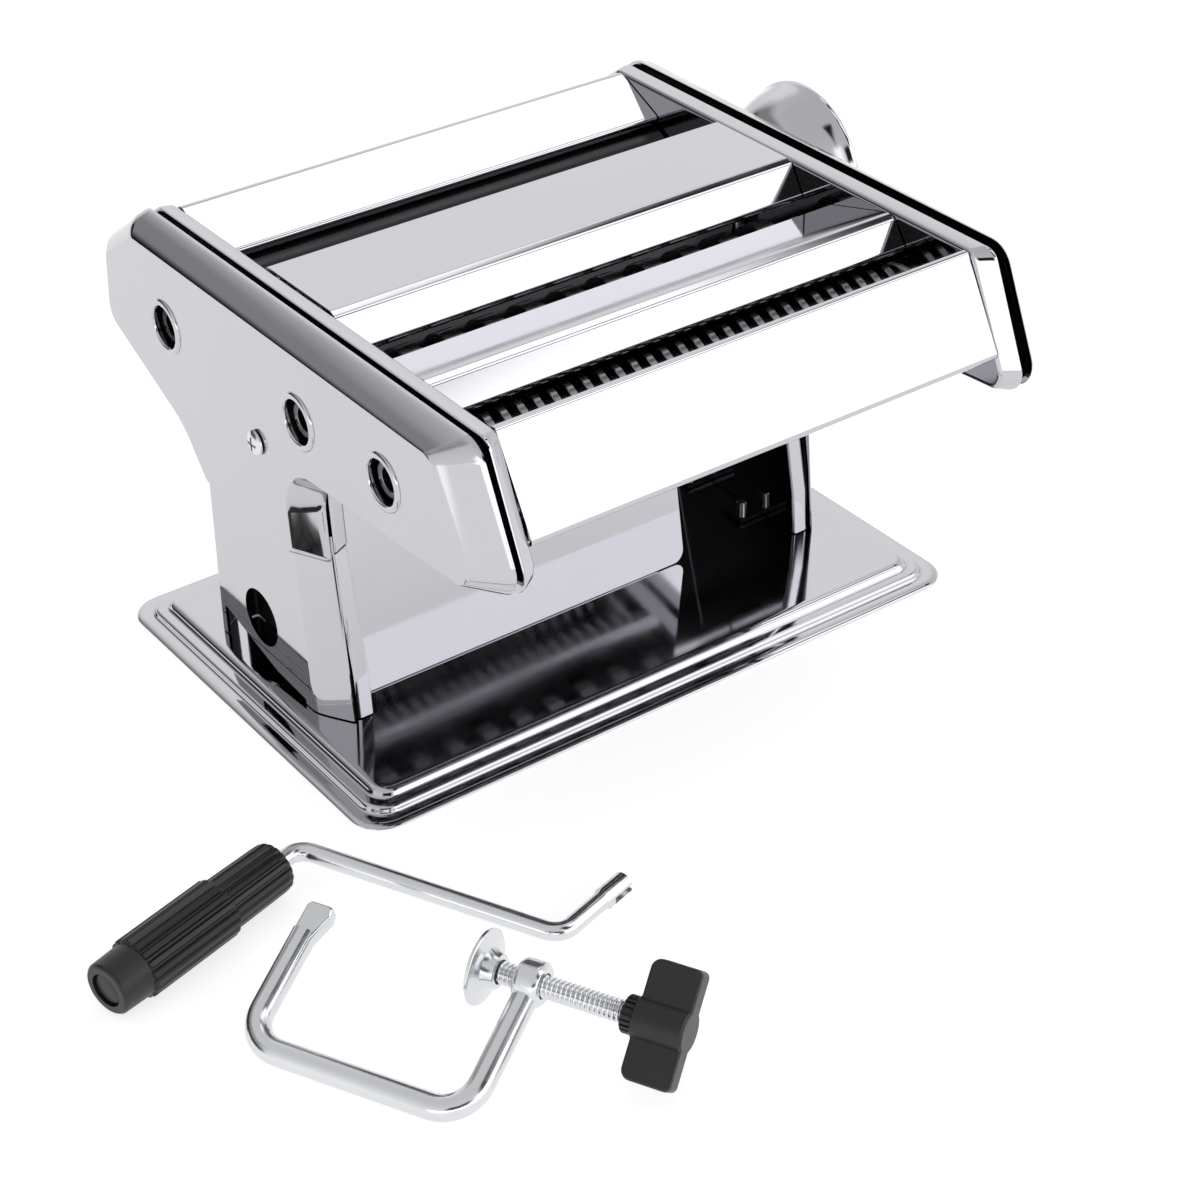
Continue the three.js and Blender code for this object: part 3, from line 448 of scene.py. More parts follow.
# A pressing has an outline of (y, z, radius) corners on its flat face and another at its rim. Both run from
# the top back corner, by way of the leg, to the top front. Its profile goes from face to rim in steps of
# (x, share of the way to the rim, the same share for the slanted corners).
COVER_BODY = {
    "face": [
        (57.5, 121.3, 4), (74.5, 110, 3), (76.8, 90, 6), (38.5, 72, 24), (27.5, 58.4, 2), (-18, 57.6, 2),
        (-16.5, 85.8, 16), (-106.6, 91.2, 4), (-90.5, 121.4, 4),
    ],
    "rim": [
        (60.5, 126.8, 6), (79.5, 113.5, 5), (80.3, 88, 8), (41, 69.2, 22), (31, 55, 4), (-24.6, 54.2, 2),
        (-23.6, 80.6, 11), (-117.2, 89.8, 7), (-101, 126.9, 8),
    ],
    "slanted": (5, 6, 7, 8),
    "profile": [
        (91, 0, 0), (90.93, 0.03, 0.02), (90.75, 0.1, 0.06), (90.0, 0.32, 0.15), (89.1, 0.52, 0.26),
        (88.3, 0.65, 0.36), (87.3, 0.77, 0.49), (86.0, 0.87, 0.65), (84.8, 0.93, 0.8), (83.9, 0.97, 0.91),
        (83.2, 0.99, 0.98), (82.75, 0.99, 1), (82.7, 0.95, 0.97),
    ],
}
COVER_LEG = {
    "face": [(32, 62), (34, 0), (-16.6, 0), (-13.4, 62)],
    "rim": [(37.6, 62), (39.6, 0), (-28.6, 0), (-23.6, 62)],
    "slanted": (),
    "profile": [
        (88, 0, 0), (87.93, 0.05, 0), (87.6, 0.15, 0), (87.0, 0.27, 0), (86.1, 0.41, 0), (85.1, 0.55, 0),
        (84.1, 0.69, 0), (83.1, 0.83, 0), (82.3, 0.94, 0), (81.8, 0.99, 0), (81.5, 1.0, 0), (81.3, 0.97, 0),
    ],
}
FRAME_LEG_OUTLINE = [(36, 64), (36, 0), (-28, 0), (-26.9, 17.5), (-20.5, 54), (-20.5, 84)]
# (x, growth of the outline) from a frame's face to its rim
FRAME_EDGE = [
    (75, -1.5), (75.12, -0.8), (75.5, -0.25), (76.1, 0), (79, 0), (79.7, -0.12), (80.15, -0.45), (80.3, -1),
]
FRAME_BODY = {
    "face": [
        (60, 125.6, 4), (78.6, 112.6, 4), (79.2, 88, 6), (41, 69.6, 22), (30.5, 56, 2), (-21, 55, 2),
        (-19.8, 83, 12), (-112.8, 89.8, 5), (-96.8, 125.6, 4),
    ],
    "rim": [
        (60.5, 126.4, 5), (79.5, 113, 4), (80.2, 88, 6), (41, 69, 22), (31.5, 54.6, 2), (-22.5, 53.8, 2),
        (-21, 81.8, 11), (-116.5, 88.5, 6), (-100.3, 126.4, 5),
    ],
    "edge": FRAME_EDGE,
}
FRAME_LEG = {"face": FRAME_LEG_OUTLINE, "rim": FRAME_LEG_OUTLINE, "edge": FRAME_EDGE}
# the opening at the bottom of a cover's leg
LEG_ARCH = rounded([(-12.5, 0), (-12.5, 5.5, 0.6), (3, 6.6, 8), (31.5, 14.2, 1), (31.5, 0)])
EYELET_HOLE = 6.2
KNOB_HOLE = 7
SCREW_HOLE = 2.2
BUSH_HOLE = 6.65
BEARING_SLOT = 7.1
IDLER_SLOT = 5.5
IDLER_TRAVEL = 2.1
DIAL_BUSH_Y = (21.2, 27.7)
DIAL_BUSH_HALF = 4.5
FEET_CUT = box((-120, 120), (-150, 150), (-20, FOOT_Z))


def between(first, second, share):
    return [a.lerp(b, share) for a, b in zip(first, second)]


def drafted(shape, face, rim, share, slant):
    """The outline part of the way from the face to the rim; the slanted corners have their own share."""
    points = []
    for i, corner in enumerate(shape["face"]):
        count = CORNER_STEPS + 1 if len(corner) > 2 else 1
        start = len(points)
        part = slant if i in shape["slanted"] else share
        points += between(face[start:start + count], rim[start:start + count], part)
    return points


def pressing(side, shape):
    """The outside of a drafted pressing, whose outline goes from its face's to its rim's."""
    face, rim = rounded(shape["face"], CORNER_STEPS), rounded(shape["rim"], CORNER_STEPS)
    if "profile" in shape:
        rings = [(x, drafted(shape, face, rim, share, slant)) for x, share, slant in shape["profile"]]
        return loft([side_ring(side * x, points) for x, points in rings])
    first, last = shape["edge"][0][0], shape["edge"][-1][0]
    rings = []
    for x, growth in shape["edge"]:
        points = between(face, rim, (x - first) / (last - first))
        rings.append(side_ring(side * x, grown(points, growth)))
    return loft(rings)


def room(side, shape, sheet):
    """The space inside a pressing of the given sheet, open past its rim. Its faces carry the near-black
    painted shade, which the cut leaves on the pressing's inside faces.
    """
    face, rim = (grown(rounded(shape[key], CORNER_STEPS), -sheet) for key in ("face", "rim"))
    if "profile" in shape:
        inner = shape["profile"][:-2]
        rings = [(x - sheet, drafted(shape, face, rim, share, slant)) for x, share, slant in inner]
        rings.append((rings[-1][0] - 6, rim))
    else:
        first, last = shape["edge"][0][0], shape["edge"][-1][0]
        rings = [(first + sheet, grown(face, -0.6)), (first + sheet + 0.6, face), (last + 5, rim)]
    made = mesh_object("room", loft([side_ring(side * x, points) for x, points in rings]))
    # painted shade: the inside faces of a cover or frame are made near-black where they lie in shade
    made.data.materials.append(PAINTED_SHADE)
    return made


def chromed(made):
    """Gives every face the chrome, so that only a cut brings in another material: the painted shade that a
    room leaves on the inside faces.
    """
    made.data.materials.clear()
    made.data.materials.append(CHROME)
    for polygon in made.data.polygons:
        polygon.material_index = 0
    return made


def across(side, x0, x1):
    """A span of x on the right, or its mirror image on the left."""
    return (x0, x1) if side > 0 else (-x1, -x0)


def double_slot(radius, y0, y1, z):
    """A slot with round ends about two holes of a radius."""
    return rounded([
        (y0 + radius, z - radius, radius), (y0 + radius, z + radius, radius),
        (y1 - radius, z + radius, radius), (y1 - radius, z - radius, radius),
    ])


def pressed_body(side, name, body, leg):
    return chromed(carve(mesh_object(name, pressing(side, body)), [pressing(side, leg)], "UNION"))


def side_cover(side, name):
    body = pressed_body(side, name, COVER_BODY, COVER_LEG)
    span = across(side, 70, 95)
    tools = [
        room(side, COVER_BODY, COVER_SHEET), room(side, COVER_LEG, COVER_SHEET), FEET_CUT,
        swept(LEG_ARCH, *span), rod(SCREW_HOLE, *span, SCREW_ROD),
    ]
    if side < 0:
        tools += [rod(EYELET_HOLE, *span, axis, 64) for axis in DRIVE_AXES]
        tools.append(rod(CLAMP_HOLE_RADIUS, *span, CLAMP_HOLE, 64))
    else:
        tools.append(rod(KNOB_HOLE, *span, DIAL_AXIS, 64))
    return carve(body, tools)


def side_frame(side, name):
    body = pressed_body(side, name, FRAME_BODY, FRAME_LEG)
    span = across(side, 70, 90)
    tools = [
        room(side, FRAME_BODY, FRAME_SHEET), room(side, FRAME_LEG, FRAME_SHEET), FEET_CUT,
        rod(SCREW_HOLE, *span, SCREW_ROD), rod(BUSH_HOLE, *span, SMOOTH_DRIVE),
        swept(double_slot(BEARING_SLOT, WIDE_DRIVE[0], WIDE_DRIVEN[0], WIDE_DRIVE[1]), *span),
        swept(double_slot(BEARING_SLOT, NARROW_DRIVE[0], NARROW_DRIVEN[0], NARROW_DRIVE[1]), *span),
    ]
    tools += [rod(SCREW_HOLE, *span, axis) for axis in TIE_RODS.values()]
    if side < 0:
        y, z = SMOOTH_IDLER
        tools.append(swept(double_slot(IDLER_SLOT, y + IDLER_TRAVEL, y, z), *span))
        tools.append(rod(CLAMP_HOLE_RADIUS + 0.4, *span, CLAMP_HOLE))
    else:
        z = DIAL_AXIS[1]
        tools.append(box(span, DIAL_BUSH_Y, (z - DIAL_BUSH_HALF, z + DIAL_BUSH_HALF)))
    return carve(body, tools)


def foot_tabs(side):
    """The side frame's feet that the base screws hold, bent inwards at the bottom."""
    x0, x1 = across(side, 66, 75.4)
    tabs = []
    for x, y in SCREW_PLACES:
        if x * side > 0:
            tabs.append(box((x0, x1), (y - 5, y + 5), (FOOT_Z, FOOT_Z + FRAME_SHEET)))
    return combined(*tabs)


TIE_RODS = {"front": (-58, 87.6), "top": (0, 118), "stand": (5, 55)}
for place, side in (("left", -1), ("right", 1)):
    frame_name, cover_name = f"side_frame_{place}", f"side_cover_{place}"
    pan = side_frame(side, frame_name + "_pan")
    finish(pan, CHROME, "machine", [frame_name], "chromed_steel")
    piece(frame_name + "_feet", foot_tabs(side), CHROME, "machine", [], "chromed_steel")
    cover = side_cover(side, cover_name + "_pressing")
    finish(cover, CHROME, "machine", [cover_name], "chromed_steel")

EYELET = [
    (-89.9, 6.2), (-90.9, 6.05), (-91.45, 6.2), (-91.68, 6.6), (-91.7, 7.2), (-91.55, 7.7), (-91.2, 8.05),
    (-90.98, 8.1), (-90.9, 7.4), (-89.9, 6.9),
]
for name, axis in (("smooth", SMOOTH_DRIVE), ("wide", WIDE_DRIVE), ("narrow", NARROW_DRIVE)):
    ring = turned(EYELET, 64, axis, closed=True)
    piece(name + "_drive_eyelet", ring, CHROME, "machine", [], "chromed_steel", sharp=50)


# ---- panels between the side frames ----
def paint_shade_towards(made, direction):
    """Paints shade on the faces that look in a direction: they get the near-black painted-shade material."""
    made.data.materials.append(PAINTED_SHADE)
    for polygon in made.data.polygons:
        if polygon.normal.dot(direction) > 0.6:
            polygon.material_index = 1


# corners (y, z, inner bend radius) of each bent sheet
PANELS = {
    "rear_hopper_panel": [
        (40.4, 115.2, 0), (39.2, 117.1, 0.5), (57.4, 125.2, 1.4), (59.6, 124.4, 0.8), (63, 87, 1.2),
        (61, 84.6, 0),
    ],
    "centre_cover": [
        (12, 119.6, 0), (11.2, 125.3, 0.7), (-20.8, 125.3, 0.8), (-22.7, 124.4, 0.8), (-27.6, 116.3, 0.5),
        (-26.2, 114.8, 0),
    ],
    "divider_cover": [
        (-38.8, 115.4, 0), (-40.2, 117.9, 0.8), (-64, 124.4, 1), (-66.2, 123.6, 0.8), (-70.9, 117, 0.5),
        (-69.6, 115.6, 0),
    ],
    "front_panel": [
        (-91.6, 119.4, 0), (-93.4, 124.8, 0.5), (-95, 124.9, 0.4), (-96, 123, 0.8), (-108.6, 99.9, 0.6),
        (-107, 98.6, 0),
    ],
    "stand_rear_wall": [(33, FOOT_Z, 0), (14, 76, 1.5), (10, 78, 0)],
}
for name, corners in PANELS.items():
    sheet = piece(name + "_sheet", bent_sheet(corners), CHROME, "machine", [name], "chromed_steel", sharp=50)
    # the rear wall's front faces, seen through the stand's opening, get painted shade
    if name == "stand_rear_wall":
        paint_shade_towards(sheet, Vector((0, -1, 0)))


def stand_front_wall():
    """The wall ends short of the right leg, with a rounded lower corner."""
    sheet = bent_sheet([(-18, FOOT_Z, 0), (-7.5, 79, 1.5), (-11.5, 82, 0)])
    wall = mesh_object("stand_front_wall_sheet", sheet)
    foot = FOOT_Z - 0.1
    opening = rounded([
        (76, 90), (STAND_OPENING_X, 90), (STAND_OPENING_X, foot, 4), (STAND_OPENING_X - 10, foot),
        (STAND_OPENING_X - 10, FOOT_Z - 1), (76, FOOT_Z - 1),
    ])
    return carve(wall, [loft([[(p.x, y, p.y) for p in opening] for y in (-30, 0)])])


finish(stand_front_wall(), CHROME, "machine", ["stand_front_wall"], "chromed_steel", sharp=50)

# ---- tie rods, scrapers and cover screws ----
ROD_END = INNER_HALF + FRAME_SHEET + 1.4
for place, axis in TIE_RODS.items():
    name = f"tie_rod_{place}"
    half = [(-ROD_END, 0), (-ROD_END, 1.6), (-ROD_END + 0.4, 2), (-74.7, 2), (-74.7, 2.7), (-74.4, 3)]
    profile = half + [(-x, radius) for x, radius in reversed(half)]
    piece(name + "_turned", turned(profile, 48, axis), ZINC, "machine", [name], "zinc_plated_steel")
profile = [(-74.7, 0), (-74.7, 3.2), (-74.3, 3.6), (74.3, 3.6), (74.7, 3.2), (74.7, 0)]
piece("tie_rod_centre_turned", turned(profile, 48, SCREW_ROD), ZINC, "machine", ["tie_rod_centre"],
      "zinc_plated_steel")

for place, side in (("left", -1), ("right", 1)):
    profile = [
        (64, 0), (64, 1.6), (91.3, 1.6), (91.3, 3.4), (91.5, 3.6), (92.0, 3.5), (92.5, 2.9), (92.85, 1.8),
        (93, 0),
    ]
    shape = turned([(side * x, radius) for x, radius in profile], 48, SCREW_ROD)
    screw = mesh_object(f"cover_screw_{place}_turned", shape)
    y, z = SCREW_ROD
    cross = []
    for dy, dz in ((2.1, 0.42), (0.42, 2.1)):
        cross.append(box(across(side, 92, 94), (y - dy, y + dy), (z - dz, z + dz)))
    finish(carve(screw, cross), ZINC, "machine", [f"cover_screw_{place}"], "zinc_plated_steel")

piece("drive_roller_scraper_blade", bent_sheet([(45.4, 85.6, 0), (54, 82.6, 1), (57, 84, 0)], 1.4), NYLON,
      "machine", ["drive_roller_scraper"], "nylon")
piece("idler_scraper_blade", bent_sheet([(13.4, 84.9, 0), (9.5, 84.5, 1), (5.6, 84.1, 0)], 1, 69.6), NYLON,
      "roller_carrier", ["idler_scraper"], "nylon")

# ---- rollers and cutters ----
JOURNAL = 5
SOCKET_END = -89.2
SOCKET_DEPTH = 15
SHORT_END = 77.8
GEAR_END = 86.2
ROLLER_RADIUS = 14
DISC_RADIUS, SHANK_RADIUS = 10, 7.2
CUTTER_GAP = 0.35
FIRST_DISC_X = -CUTTER_HALF + 0.4
# (name, strip width, drive axis, driven axis)
CUTTERS = (("wide", 6.5, WIDE_DRIVE, WIDE_DRIVEN), ("narrow", 2.5, NARROW_DRIVE, NARROW_DRIVEN))


def eased(profile, size=0.2):
    """Breaks the corners of a stepped profile with small chamfers, but for its first and last points."""
    points = [profile[0]]
    for before, here, after in zip(profile, profile[1:], profile[2:]):
        here = Vector(here)
        for other in (before, after):
            way = Vector(other) - here
            points.append(here + way * min(0.4, size / max(way.length, 1e-6)))
    points.append(profile[-1])
    return points


def socketed(left_profile):
    """Starts a shaft's profile with the crank socket in its left end."""
    bottom = SOCKET_END + SOCKET_DEPTH
    return [(bottom, 0), (bottom, 3.2), (SOCKET_END, 3.2), (SOCKET_END, JOURNAL), *left_profile]


def cross_pin(axis):
    y, z = axis
    pin = turned([(z - 4.6, 0), (z - 4.6, 0.9), (z + 4.6, 0.9), (z + 4.6, 0)], 16)
    return upright(pin, -81, y)


def smooth_profile(half, right):
    barrel = [(-half, JOURNAL), (-half, ROLLER_RADIUS), (half, ROLLER_RADIUS), (half, JOURNAL)]
    return barrel + [(right, JOURNAL), (right, 0)]


def cutter_profile(strip, first, right):
    """Discs a strip wide and a strip apart, on a shank."""
    disc = strip - CUTTER_GAP
    profile = [(-CUTTER_HALF, JOURNAL), (-CUTTER_HALF, SHANK_RADIUS)]
    x = first
    while x + disc < CUTTER_HALF:
        profile += [(x, SHANK_RADIUS), (x, DISC_RADIUS), (x + disc, DISC_RADIUS), (x + disc, SHANK_RADIUS)]
        x += 2 * strip
    return profile + [(CUTTER_HALF, SHANK_RADIUS), (CUTTER_HALF, JOURNAL), (right, JOURNAL), (right, 0)]


def shaft_piece(node, profile, axis, body, pin, steel=GROUND):
    part = turned(eased(profile), 96, axis)
    if pin:
        part = combined(part, cross_pin(axis))
    piece(node + "_ground", part, steel, body, [node], "ground_steel", sharp=30)


# the smooth rollers carry the painted-shade steel
profile = socketed(smooth_profile(74.2, SHORT_END))
shaft_piece("smooth_drive_roller", profile, SMOOTH_DRIVE, "smooth_drive", True, PAINTED_SHADE_ROLLER)
profile = [(-GEAR_END, 0), (-GEAR_END, JOURNAL)] + smooth_profile(70.2, 74.2)
shaft_piece("smooth_idler_roller", profile, SMOOTH_IDLER, "smooth_idler", False, PAINTED_SHADE_ROLLER)
# the cutters carry the darkened, painted-shade steel
for name, strip, drive, driven in CUTTERS:
    profile = socketed(cutter_profile(strip, FIRST_DISC_X, GEAR_END))
    shaft_piece(f"{name}_drive_cutter", profile, drive, f"{name}_drive", True, PAINTED_SHADE_CUTTER)
    profile = [(-SHORT_END, 0), (-SHORT_END, JOURNAL)] + cutter_profile(strip, FIRST_DISC_X + strip, GEAR_END)
    shaft_piece(f"{name}_driven_cutter", profile, driven, f"{name}_driven", False, PAINTED_SHADE_CUTTER)


def comb(strip, first, axis, towards):
    """A flat plate below a cutter with a finger in each groove between its discs."""
    y, z = axis
    gap = strip + CUTTER_GAP
    edge, root, tip = (y + reach * towards for reach in (12.6, 7.6, 2.2))
    points = [(-PANEL_HALF, edge), (-PANEL_HALF, root)]
    x = first + strip - CUTTER_GAP
    while x + gap < CUTTER_HALF + 0.5:
        left, right = x + 0.4, x + gap - 0.4
        points += [(left, root), (left, tip), (right, tip), (right, root)]
        x += 2 * strip
    points += [(PANEL_HALF, root), (PANEL_HALF, edge)]
    low = z - 9.6
    return loft([[(u, v, low) for u, v in points], [(u, v, low + 1.2) for u, v in points]])


for name, strip, drive, driven in CUTTERS:
    rear, front = ("rear", FIRST_DISC_X, drive, 1), ("front", FIRST_DISC_X + strip, driven, -1)
    for place, first, axis, towards in (rear, front):
        node = f"{name}_comb_{place}"
        plate = comb(strip, first, axis, towards)
        # painted shade: the comb plates are near-black like the shaded slots under the cutters, not the
        # colour of their zinc plating
        piece(node + "_plate", plate, PAINTED_SHADE, "machine", [node], "zinc_plated_steel")

# ---- dial knob ----
KNOB_X = 93
# (x from the knob's back, radius)
KNOB = [
    (0, 4.1), (0, 14.6), (0.15, 15.2), (0.6, 16.1), (1.6, 18.0), (3.0, 19.9), (4.5, 21.3), (6.5, 22.7),
    (8.5, 23.7), (10.5, 24.5), (12.5, 25.1), (14, 25.5), (15, 25.9), (15.6, 26.3), (16.1, 26.5), (16.9, 26.5),
    (17.3, 26.2), (17.4, 25.7), (17.3, 25.2), (16.8, 24.4), (15.8, 23.2), (15.4, 22.4), (15.2, 20), (15, 12),
    (15.1, 9.4), (15.6, 8.4), (16.6, 7.8), (17.2, 7.2), (17.4, 6.4), (17.4, 3), (17.2, 0), (12.6, 0),
    (12.6, 4.1),
]
knob = turned([(KNOB_X + x, r) for x, r in KNOB], 128, DIAL_AXIS, closed=True)
piece("dial_knob_spun", knob, CHROME, "dial_knob", ["dial_knob"], "chromed_steel", sharp=50)

# ---- crank ----
GRIP = 59
RIVETED = -GRIP + 6  # x of the rod's riveted end inside the grip
CRANK_ROD_RADIUS = 2.5
STUB, ARM, SHAFT = 8.5, 74, 26
LEAN = math.radians(75.5)
WRIST = Vector((STUB + ARM * math.cos(LEAN), -ARM * math.sin(LEAN), 0))
SHAFT_TIP = WRIST + Vector((SHAFT, 0, 0))


def crank_rod():
    path = fillet_path([((RIVETED, 0, 0), 0), ((STUB, 0, 0), 5.5), (WRIST, 5.5), (SHAFT_TIP, 0)])
    bar = mesh_object("crank_rod_bent", tube(path, CRANK_ROD_RADIUS), CRANK)
    x, y = SHAFT_TIP.x, SHAFT_TIP.y
    head = turned([(x - 10, 0), (x - 10, 2.4), (x - 8.6, 3), (x - 0.5, 3), (x, 2.5), (x, 0)], 40, (y, 0))
    collar = turned([
        (RIVETED - 1, 0), (RIVETED - 1, 3.2), (RIVETED - 0.4, 3.8), (RIVETED + 0.6, 3.8), (RIVETED + 0.6, 0),
    ], 40)
    slot = box((x - 7.5, x + 1), (y - 5, y + 5), (-1.05, 1.05))
    carve(bar, [mesh_object("head", head, CRANK), mesh_object("collar", collar, CRANK)], "UNION")
    carve(bar, [mesh_object("slot", slot, CRANK)])
    return finish(bar, ZINC, "crank", ["crank_rod"], "zinc_plated_steel", sharp=40)


def fluted(profile, ribs, sides):
    """A profile of (x, crest radius, groove radius) turned about x, with evenly spaced grooves along it."""
    rings = []
    for x, crest, groove in profile:
        ring = []
        for i in range(sides):
            a = 2 * math.pi * i / sides
            wave = 0.5 + 0.5 * math.cos(ribs * a)
            share = min(1, max(0, (wave - 0.16) / 0.34))
            radius = groove + (crest - groove) * share
            ring.append((x, radius * math.cos(a), radius * math.sin(a)))
        rings.append(ring)
    return loft(rings)


def crank_grip():
    # (distance from the free end, crest radius, groove radius)
    profile = [
        (0, 6.2, 6.2), (0.3, 6.7, 6.7), (0.9, 7.15, 7.15), (9.0, 7.4, 7.4), (9.4, 7.4, 7.4), (9.5, 7.9, 7.3),
        (9.9, 8.25, 7.4), (38, 8.25, 7.45), (38.4, 7.9, 7.3), (38.6, 7.3, 6.7), (56.5, 7.05, 6.4),
        (58.2, 6.9, 6.5), (58.8, 6.5, 6.3), (59, 6.0, 6.0),
    ]
    profile = [(x - GRIP, crest, groove) for x, crest, groove in profile]
    grip = mesh_object("crank_grip_moulded", fluted(profile, 18, 180), CRANK)
    bores = [turned([(-GRIP - 1, 4.6), (RIVETED + 1, 4.6)], 48), turned([(-GRIP - 1, 2.6), (1, 2.6)], 48)]
    carve(grip, [mesh_object("bore", bore, CRANK) for bore in bores])
    return finish(grip, PLASTIC, "crank_grip", ["crank_grip"], "black_plastic", sharp=40)


crank_rod()
crank_grip()
CAP = [(0.6, 0), (0.6, 3.8), (1.2, 4.55), (2.2, 4.55), (2.2, 0)]
cap = turned([(x - GRIP, radius) for x, radius in CAP], 48)
piece("crank_grip_cap", cap, PLASTIC, "crank_grip", [], "black_plastic", CRANK, sharp=40)

# ---- table clamp ----
BACK, CLAMP_ARM = 59.5, 37
CLAMP_BAR_RADIUS = 3.3
THREAD = 2.9
THREAD_DEPTH = 0.62
PITCH = 1.25
SCREW_AXIS = (CLAMP_ARM, 0)


def clamp_frame():
    corners = [((0, CLAMP_ARM - 6, 0), 0), ((0, 0, 0), 9), ((BACK, 0, 0), 9), ((BACK, CLAMP_ARM - 3, 0), 0)]
    bar = mesh_object("clamp_frame_bent", tube(fillet_path(corners), CLAMP_BAR_RADIUS), CLAMP)
    hook = rounded([(-2.6, 28, 1), (2.6, 28, 1), (5, 36, 2), (4.4, 39, 1.5), (-2.6, 39, 1.5)])
    layers = [(-2.2, -0.8), (-1.9, -0.25), (-1.3, 0), (1.3, 0), (1.9, -0.25), (2.2, -0.8)]
    hook = loft([[(p.x, p.y, z) for p in grown(hook, growth)] for z, growth in layers])
    eye = turned([
        (BACK - 3.3, 0), (BACK - 3.3, 4.8), (BACK - 2.7, 5.4), (BACK - 1.8, 5.6), (BACK + 1.8, 5.6),
        (BACK + 2.7, 5.4), (BACK + 3.3, 4.8), (BACK + 3.3, 0),
    ], 48, SCREW_AXIS)
    carve(bar, [mesh_object("hook", hook, CLAMP), mesh_object("eye", eye, CLAMP)], "UNION")
    carve(bar, [mesh_object("hole", rod(3.2, BACK - 6, BACK + 6, SCREW_AXIS), CLAMP)])
    return finish(bar, ZINC, "clamp", ["clamp_frame"], "zinc_plated_steel", sharp=40)


def thread(x0, x1, sides=28):
    """A screw thread along x, with plain ends."""
    rings = []
    steps = int((x1 - x0) / PITCH * 8)
    for k in range(steps + 1):
        x = x0 + (x1 - x0) * k / steps
        ends = min(1, (x - x0) / 0.8, (x1 - x) / 0.8)
        ring = []
        for i in range(sides):
            share = (x / PITCH - i / sides) % 1
            depth = THREAD_DEPTH * (1 - min(1, abs(2 * share - 1) * 1.35))
            radius = THREAD - 0.7 + (0.7 - depth) * ends
            a = 2 * math.pi * i / sides
            ring.append((x, CLAMP_ARM + radius * math.cos(a), radius * math.sin(a)))
        rings.append(ring)
    return loft(rings)


def on_the_screw(part):
    """A part made about the x axis, moved to the clamp's screw."""
    return [v + Vector((0, CLAMP_ARM, 0)) for v in part[0]], part[1]


def wing_knob():
    x0, x1 = BACK + 28, BACK + 41
    turn = Matrix.Rotation(math.radians(26), 4, "X")
    blade = rounded([(x0, -14.5, 2.6), (x1, -14.5, 1.6), (x1, 14.5, 1.6), (x0, 14.5, 2.6)])
    layers = [(-3, -0.7), (-2.8, -0.25), (-2.3, 0), (2.3, 0), (2.8, -0.25), (3, -0.7)]
    skin = loft([[turn @ Vector((p.x, p.y, z)) for p in grown(blade, growth)] for z, growth in layers])
    knob = mesh_object("clamp_knob_moulded", on_the_screw(skin), CLAMP)
    profile = [(x0 - 0.4, 0), (x0 - 0.4, 5.1), (x0, 5.6), (x1 - 0.6, 5.6), (x1, 5.0), (x1, 0)]
    hub = turned(profile, 48, SCREW_AXIS)
    carve(knob, [mesh_object("hub", hub, CLAMP)], "UNION")
    profile = [(-3.5, 3.9, 3.9), (-3.3, 4.4, 4.2), (-3.0, 4.7, 4.2), (-0.6, 4.7, 4.2), (0.4, 4.6, 4.2)]
    collar = fluted([(x0 + x, crest, groove) for x, crest, groove in profile], 20, 160)
    carve(knob, [mesh_object("collar", on_the_screw(collar), CLAMP)], "UNION")
    carve(knob, [mesh_object("bore", rod(THREAD + 0.05, x0 - 5, x0 + 8.4, SCREW_AXIS), CLAMP)])
    return finish(knob, PLASTIC, "clamp_screw", ["clamp_knob"], "black_plastic", sharp=40)


clamp_frame()
PAD_X = BACK - 13.5
PAD = [
    (0, 0), (0, 9.3), (0.25, 9.6), (0.9, 9.6), (1.2, 9.3), (1.5, 7), (2, 5.4), (3.2, 4.7), (4.8, 4.4),
    (5, 4.1), (5, 3.1), (2.2, 3.1), (2.2, 0),
]
pad = turned([(PAD_X + x, radius) for x, radius in PAD], 64, SCREW_AXIS)
piece("clamp_pad_pressed", pad, ZINC, "clamp_pad", ["clamp_pad"], "zinc_plated_steel", CLAMP, sharp=40)
TIP = [(-10.9, 0), (-10.9, 1.8), (-10.5, 2.2), (-8, 2.2), (-8, 0)]
tip = turned([(BACK + x, radius) for x, radius in TIP], 32, SCREW_AXIS)
screw = combined(tip, thread(BACK - 8.9, BACK + 36))
piece("clamp_screw_threaded", screw, ZINC, "clamp_screw", ["clamp_screw"], "zinc_plated_steel", CLAMP,
      sharp=60)
wing_knob()

# ---- pieces kept from the CAD part ----
KEPT = {
    ZINC: [
        "smooth_drive_gear", "smooth_idler_gear", "wide_drive_gear", "wide_driven_gear", "narrow_drive_gear",
        "narrow_driven_gear",
    ],
    NYLON: [
        "smooth_bush_left", "smooth_bush_right", "wide_bearing_left", "wide_bearing_right",
        "narrow_bearing_left", "narrow_bearing_right",
    ],
    GROUND: ["idler_yoke", "dial_cam_shaft"],
}
for material, nodes in KEPT.items():
    for name in nodes:
        node = frame["nodes"][name]
        node.data.materials.clear()
        node.data.materials.append(material)
        node.data.polygons.foreach_set("use_smooth", [True] * len(node.data.polygons))
        node.data.set_sharp_from_angle(angle=math.radians(35))

# ---- floor, light and camera ----
floor_mesh = bpy.data.meshes.new("floor")
floor_mesh.from_pydata([(-5, -5, 0), (5, -5, 0), (5, 5, 0), (-5, 5, 0)], [], [(0, 1, 2, 3)])
floor = bpy.data.objects.new("floor", floor_mesh)
bpy.context.scene.collection.objects.link(floor)
floor_material = bpy.data.materials.new("floor")
floor_material.use_nodes = True
shader = floor_material.node_tree.nodes["Principled BSDF"]
shader.inputs["Base Color"].default_value = (0.5, 0.5, 0.5, 1)
shader.inputs["Roughness"].default_value = 0.9
shader.inputs["Specular IOR Level"].default_value = 0
shader.inputs["Emission Color"].default_value = (1, 1, 1, 1)
shader.inputs["Emission Strength"].default_value = 0.72
floor_mesh.materials.append(floor_material)


